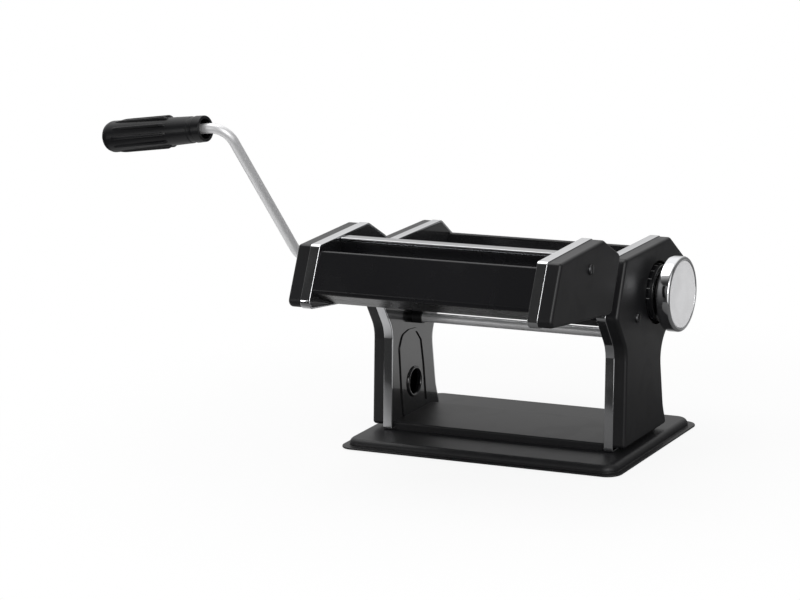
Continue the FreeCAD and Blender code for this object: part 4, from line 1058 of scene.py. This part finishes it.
@dataclass
class BaseAssembly(SubAssembly):
    """The pressed base with its bridge and rubber feet."""

    lip_round: float = 0.35 * MM
    foot_radius: float = 7.0 * MM
    foot_round: float = 0.9 * MM
    foot_rings: tuple[Corner, ...] = (
        (0.0, 0.0, 0.0), (2.2, 0.0, 0.2), (2.4, 0.5, 0.1), (3.0, 0.5, 0.1), (3.2, 0.0, 0.2),
        (4.7, 0.0, 0.2), (4.9, 0.5, 0.1), (5.3, 0.5, 0.1), (5.5, 0.0, 0.2),
    )

    def make_feet(self, bench: Workbench, rubber: Material) -> None:
        """Make the four ringed rubber feet.

        Args:
            bench: The workbench.
            rubber: Their finish.
        """
        low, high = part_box("foot_front_left")
        far_low, far_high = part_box("foot_back_right")
        first, last = (low + high) / 2, (far_low + far_high) / 2
        top = high.z
        corners = in_metres(self.foot_rings)
        corners += [(self.foot_radius, 0.0, self.foot_round), (self.foot_radius, top, 0.0), (0.0, top, 0.0)]
        template = turned_mesh("foot", rounded_profile(corners, steps=3), segments=40)
        feet = corners_recipe().make(
            template, "rubber_feet", rubber, crease=40.0, Width=last.x - first.x, Length=last.y - first.y
        )
        bench.hand_over(
            feet, "base", "foot_rubber",
            "foot_front_left", "foot_front_right", "foot_back_left", "foot_back_right",
        )

    def build(self, bench: Workbench) -> None:
        """Dress the base.

        Args:
            bench: The workbench.
        """
        enamel = BASE_ENAMEL.material()
        bench.softened("base_pan", "pressed_base", enamel, "base_black", self.lip_round)
        bench.dress(enamel, "base_bridge")
        self.make_feet(bench, SOFT_RUBBER.material())


@dataclass
class HeadHousing(SubAssembly):
    """The side housings of the rolling head with their plates, bands, hoods and tie rod."""

    plate_round: float = 0.45 * MM
    eyelet_bore: float = 8.5 * MM
    eyelet_rim: float = 10.9 * MM
    eyelet_roll: float = 1.2 * MM
    eyelet_wall: float = 1.0 * MM
    eyelet_lead: float = 0.25 * MM
    eyelet_lead_depth: float = 0.3 * MM
    roll_steps: int = 12

    def make_eyelets(self, bench: Workbench, enamel: Material) -> None:
        """Make the rolled rims of the clamp holes.

        Args:
            bench: The workbench.
            enamel: Their finish.
        """
        low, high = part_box("clamp_eyelet_right")
        middle = (low + high) / 2
        depth = high.x - low.x
        bore, roll = self.eyelet_bore, self.eyelet_roll
        centre, half = (bore + self.eyelet_rim) / 2, (self.eyelet_rim - bore) / 2
        profile = [(bore + self.eyelet_lead, depth), (bore, depth - self.eyelet_lead_depth)]
        for step in range(self.roll_steps + 1):
            angle = math.pi * step / self.roll_steps
            profile.append((centre - half * math.cos(angle), roll - roll * math.sin(angle)))
        profile += [(bore + self.eyelet_wall, roll), (bore + self.eyelet_wall, depth)]
        template = turned_mesh("eyelet", profile, segments=64, closed=True)
        template.transform(Matrix.Rotation(math.radians(90), 4, "Y"))
        rims = pair_recipe().make(
            template, "clamp_eyelets", enamel, crease=45.0, Reach=low.x, Back=middle.y, Height=middle.z
        )
        bench.hand_over(rims, "base", "plate_black", "clamp_eyelet_left", "clamp_eyelet_right")

    def build(self, bench: Workbench) -> None:
        """Dress the housings.

        Args:
            bench: The workbench.
        """
        chrome = TRIM_CHROME.material()
        gloss = GLOSS_ENAMEL.material()
        sheet = SHEET_ENAMEL.material()
        plastic = COVER_PLASTIC.material()
        dull = DULL_BLACK.material()
        for side in ("left", "right"):
            bench.softened(f"main_trim_{side}", f"head_band_{side}", chrome, "trim_chrome", BAND_ROUND)
            bench.softened(f"main_plate_{side}", f"head_plate_{side}", gloss, "plate_black", self.plate_round)
        bench.softened("rear_hood", "rear_hood_sheet", sheet, "sheet_black", SHEET_ROUND)
        bench.softened("front_guard", "front_guard_sheet", sheet, "sheet_black", SHEET_ROUND)
        bench.dress(plastic, "main_cover_left", "main_cover_right")
        bench.dress(DARK_SCREW.material(), "main_screws")
        bench.dress(CRANK_STEEL.material(), "tie_rod")
        bench.dress(dull, "tie_collar_left", "tie_collar_right", "wiper_front", "wiper_rear")
        self.make_eyelets(bench, gloss)


@dataclass
class RollingHead(SubAssembly):
    """The smooth rollers with their wheels and slide blocks."""

    def build(self, bench: Workbench) -> None:
        """Dress the rollers.

        Args:
            bench: The workbench.
        """
        bench.dress(ROLLER_STEEL.material(), "drive_roller", "gap_roller")
        gears = ("drive_gear", "gap_gear")
        bench.dress(GEAR_STEEL.material(), *gears, "gap_axle", "gap_block_left", "gap_block_right")


@dataclass
class Regulator(SubAssembly):
    """The regulator: fixed collar, shaft and pull-out knob."""

    collar_round: float = 0.5 * MM
    hub_round: float = 1.0 * MM
    bead: float = 3.0 * MM
    face_depth: float = 1.5 * MM
    floor_depth: float = 0.8 * MM
    cavity: float = 8.5 * MM
    cavity_round: float = 0.4 * MM
    back_set: float = 0.3 * MM
    back_round: float = 1.6 * MM
    shoulder: float = 2.2 * MM
    shoulder_round: float = 0.8 * MM
    rim_round: float = 2.0 * MM
    seat_round: float = 0.9 * MM
    mark_count: int = 10
    mark_span: float = math.pi
    mark_width: float = 0.4 * MM
    mark_rise: float = 0.06 * MM
    mark_place: float = 0.55
    mark_share: float = 0.3

    def make_disc(self, bench: Workbench, chrome: Material) -> None:
        """Make the knob's disc with its rolled bead.

        Args:
            bench: The workbench.
            chrome: Its finish.
        """
        low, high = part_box("regulator_knob")
        middle = (low + high) / 2
        radius, depth = (high.z - low.z) / 2, high.x - low.x
        inner, seat = radius - self.bead, depth - self.face_depth
        corners = [
            (0.0, seat - self.floor_depth, 0.0), (self.cavity, seat - self.floor_depth, 0.0),
            (self.cavity, 0.0, self.cavity_round), (radius - self.back_set, 0.0, self.back_round),
            (radius, self.shoulder, self.shoulder_round), (radius, depth, self.rim_round),
            (inner, depth, self.seat_round), (inner, seat, 0.0), (0.0, seat, 0.0),
        ]
        mesh = turned_mesh("knob_disc", rounded_profile(corners, steps=6), segments=96)
        mesh.transform(
            Matrix.Translation((low.x, middle.y, middle.z)) @ Matrix.Rotation(math.radians(90), 4, "Y")
        )
        disc = piece_from_mesh(mesh, "knob_disc", chrome, crease=50.0)
        bench.hand_over(disc, "knob", "trim_chrome", "regulator_knob")

    def make_marks(self, bench: Workbench) -> None:
        """Make the pale index marks round the fixed collar.

        Args:
            bench: The workbench.
        """
        low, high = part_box("index_collar")
        middle = (low + high) / 2
        radius, depth = (high.z - low.z) / 2, high.x - low.x
        shape = bmesh.new()
        bmesh.ops.create_cube(shape, size=1.0)
        mark = finished_mesh(shape, "mark")
        mark.transform(
            Matrix.Translation((radius, 0.0, depth * self.mark_place))
            @ Matrix.Diagonal((self.mark_rise * 2, self.mark_width, depth * self.mark_share, 1.0))
        )
        marks = ring_recipe().make(
            mark, "index_marks", MARK_PAINT.material(), crease=30.0,
            Count=self.mark_count, Start_Angle=math.pi / 2, Step_Angle=self.mark_span / (self.mark_count - 1),
            Axis_Turn=(0.0, math.pi / 2, 0.0), Centre=(low.x, middle.y, middle.z),
        )
        bench.hand_over(marks, "base", "face_grey")

    def build(self, bench: Workbench) -> None:
        """Dress the regulator.

        Args:
            bench: The workbench.
        """
        gloss = DIAL_PLASTIC.material()
        for node, width, faces in (("index_collar", self.collar_round, 3), ("knob_hub", self.hub_round, 4)):
            bench.softened(node, f"{node}_rounded", gloss, "dial_black", width, faces)
        self.make_disc(bench, TRIM_CHROME.material())
        self.make_marks(bench)
        bench.dress(KNOB_FACE.material(), "knob_face")
        bench.dress(GEAR_STEEL.material(), "dial_shaft")


@dataclass
class CutterAttachment(SubAssembly):
    """The lift-off attachment with its two pairs of cutting rolls."""

    strip_round: float = 1.1 * MM

    def build(self, bench: Workbench) -> None:
        """Dress the attachment.

        Args:
            bench: The workbench.
        """
        chrome = TRIM_CHROME.material()
        sheet = SHEET_ENAMEL.material()
        steel = ROLLER_STEEL.material()
        gears = GEAR_STEEL.material()
        gloss = GLOSS_ENAMEL.material()
        for side in ("left", "right"):
            bench.softened(f"cutter_trim_{side}", f"cutter_band_{side}", chrome, "trim_chrome", BAND_ROUND)
            bench.dress(gloss, f"cutter_plate_{side}")
        bench.softened("cutter_front_hood", "cutter_front_sheet", sheet, "sheet_black", SHEET_ROUND)
        bench.softened("cutter_rear_hood", "cutter_rear_sheet", sheet, "sheet_black", SHEET_ROUND)
        bench.softened(
            "cutter_center_strip", "feed_strip", STRIP_METAL.material(), "trim_chrome",
            self.strip_round, segments=4,
        )
        bench.dress(sheet, "cutter_feed_guide")
        bench.dress(COVER_PLASTIC.material(), "cutter_cover_left", "cutter_cover_right")
        bench.dress(DARK_SCREW.material(), "cutter_screws")
        bench.dress(DULL_BLACK.material(), "narrow_comb", "wide_comb")
        rolls = ("narrow_driver", "narrow_idler", "wide_idler", "wide_driver")
        bench.dress(steel, *rolls)
        bench.dress(gears, "hook_left", "hook_right", *(roll + "_gear" for roll in rolls))


@dataclass
class CrankHandle(SubAssembly):
    """The bent crank with its spinning grip."""

    length: float = 84.0 * MM
    mouth: float = 9.0 * MM
    bore: float = 3.55 * MM
    end: float = 11.0 * MM
    rib_count: int = 10
    rib_width: float = 2.4 * MM
    rib_top: float = 11.7 * MM
    rib_heights: tuple[float, float, float, float] = (28.0 * MM, 32.0 * MM, 67.0 * MM, 75.0 * MM)
    rib_sunk: float = 0.4 * MM
    rib_steps: int = 12
    rib_columns: int = 10
    rib_ease: float = 0.8
    rib_squareness: float = 3.2
    hollow: float = 8.0 * MM
    hollow_round: float = 0.8 * MM
    mouth_wall: float = 2.0 * MM
    mouth_rounds: tuple[float, float] = (0.7 * MM, 0.8 * MM)
    ring_start: float = 7.0 * MM
    ring_end: float = 11.0 * MM
    ring_ramp: float = 0.6 * MM
    ring_depth: float = 0.4 * MM
    ring_round: float = 0.3 * MM
    plain_heights: tuple[float, float] = (23.0 * MM, 50.0 * MM)
    crown_height: float = 5.0 * MM
    crown: tuple[Corner, ...] = ((0.0, -5.0, 1.4), (-1.6, -1.2, 1.6), (-4.0, 0.0, 1.2))

    def _sleeve_radius(self, height: float) -> float:
        """Return the sleeve's radius at a height from its mouth."""
        return self.mouth + (self.end - self.mouth) * min(1.0, height / (self.length - self.crown_height))

    def rib(self) -> Mesh:
        """Return one rib along the sleeve, with a flat top and sloping ends.

        Returns:
            The rib's mesh, with its foot at the sleeve's mouth.
        """
        shape = bmesh.new()
        start, rise, fall, end = self.rib_heights
        heights = [
            low + (high - low) * step / self.rib_steps
            for low, high in zip(self.rib_heights, self.rib_heights[1:])
            for step in range(self.rib_steps)
        ]
        rows = []
        for height in [*heights, end]:
            sleeve = self._sleeve_radius(height)
            risen = min(1.0, (height - start) / (rise - start), (end - height) / (end - fall))
            lift = (self.rib_top - sleeve + self.rib_sunk) * math.sin(math.pi / 2 * risen) ** self.rib_ease
            row = []
            for place in range(self.rib_columns + 1):
                side = -math.cos(math.pi * place / self.rib_columns)
                share = max(0.0, 1 - abs(side) ** self.rib_squareness) ** 0.5
                corner = (sleeve - self.rib_sunk + lift * share, side * self.rib_width / 2, height)
                row.append(shape.verts.new(corner))
            rows.append(row)
        for low, high in zip(rows, rows[1:]):
            for place in range(self.rib_columns):
                shape.faces.new((low[place], low[place + 1], high[place + 1], high[place]))
        bmesh.ops.recalc_face_normals(shape, faces=shape.faces)
        return finished_mesh(shape, "rib")

    def sleeve(self) -> Mesh:
        """Return the turned sleeve with its hollow mouth and the shallow ring near it.

        Returns:
            The sleeve's mesh, with its mouth at the origin.
        """
        inner = self.mouth - self.mouth_wall
        inside, outside = self.mouth_rounds
        ring = self._sleeve_radius((self.ring_start + self.ring_end) / 2)
        sunk = ring - self.ring_depth
        corners = [
            (self.bore, self.hollow, 0.0), (inner, self.hollow, self.hollow_round), (inner, 0.0, inside),
            (self.mouth, 0.0, outside), (ring, self.ring_start, self.ring_round),
            (sunk, self.ring_start + self.ring_ramp, self.ring_round),
            (sunk, self.ring_end - self.ring_ramp, self.ring_round), (ring, self.ring_end, self.ring_round),
        ]
        corners += [(self._sleeve_radius(height), height, 0.0) for height in self.plain_heights]
        for across, along, rounding in in_metres(self.crown):
            corners.append((self.end + across, self.length + along, rounding))
        corners.append((self.bore, self.length, 0.0))
        return turned_mesh("sleeve", rounded_profile(corners, steps=5), segments=72, closed=True)

    def build(self, bench: Workbench) -> None:
        """Dress the crank and make its grip.

        Args:
            bench: The workbench.
        """
        bench.dress(CRANK_STEEL.material(), "crank_rod")
        spin = bench.joints["grip_spin"]
        axis = Vector(spin["axis"]).normalized()
        corner = Vector(spin["pos_m"])
        low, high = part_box("crank_grip")
        middle = (low + high) / 2
        middle_along = corner + axis * (middle - corner).dot(axis)
        foot = middle_along - axis * (self.length / 2)
        turn = axis.to_track_quat("Z", "Y")
        plastic = GRIP_PLASTIC.material()
        shape = bmesh.new()
        shape.from_mesh(self.sleeve())
        ribs = ring_recipe().make(
            self.rib(), "grip_ribs", plastic, crease=50.0,
            Count=self.rib_count, Start_Angle=0.0, Step_Angle=2 * math.pi / self.rib_count,
            Axis_Turn=(0.0, 0.0, 0.0), Centre=(0.0, 0.0, 0.0),
        )
        shape.from_mesh(ribs.data)
        bpy.data.objects.remove(ribs)
        mesh = finished_mesh(shape, "crank_grip_ribbed")
        mesh.transform(Matrix.Translation(foot) @ turn.to_matrix().to_4x4())
        grip = piece_from_mesh(mesh, "crank_grip_ribbed", plastic, crease=45.0)
        bench.hand_over(grip, "grip", "grip_black", "crank_grip")


def main() -> None:
    """Build the stage and every sub-assembly in order."""
    logging.basicConfig(level=logging.INFO, format="%(name)s: %(message)s")
    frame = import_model()
    bench = Workbench.from_frame(frame)
    StudioStage().build()
    for kind in (BaseAssembly, HeadHousing, RollingHead, Regulator, CutterAttachment, CrankHandle):
        kind().build(bench)
        log.info("%s is done", kind.__name__)
    bpy.context.view_layer.update()


if __name__ == "__main__":
    main()
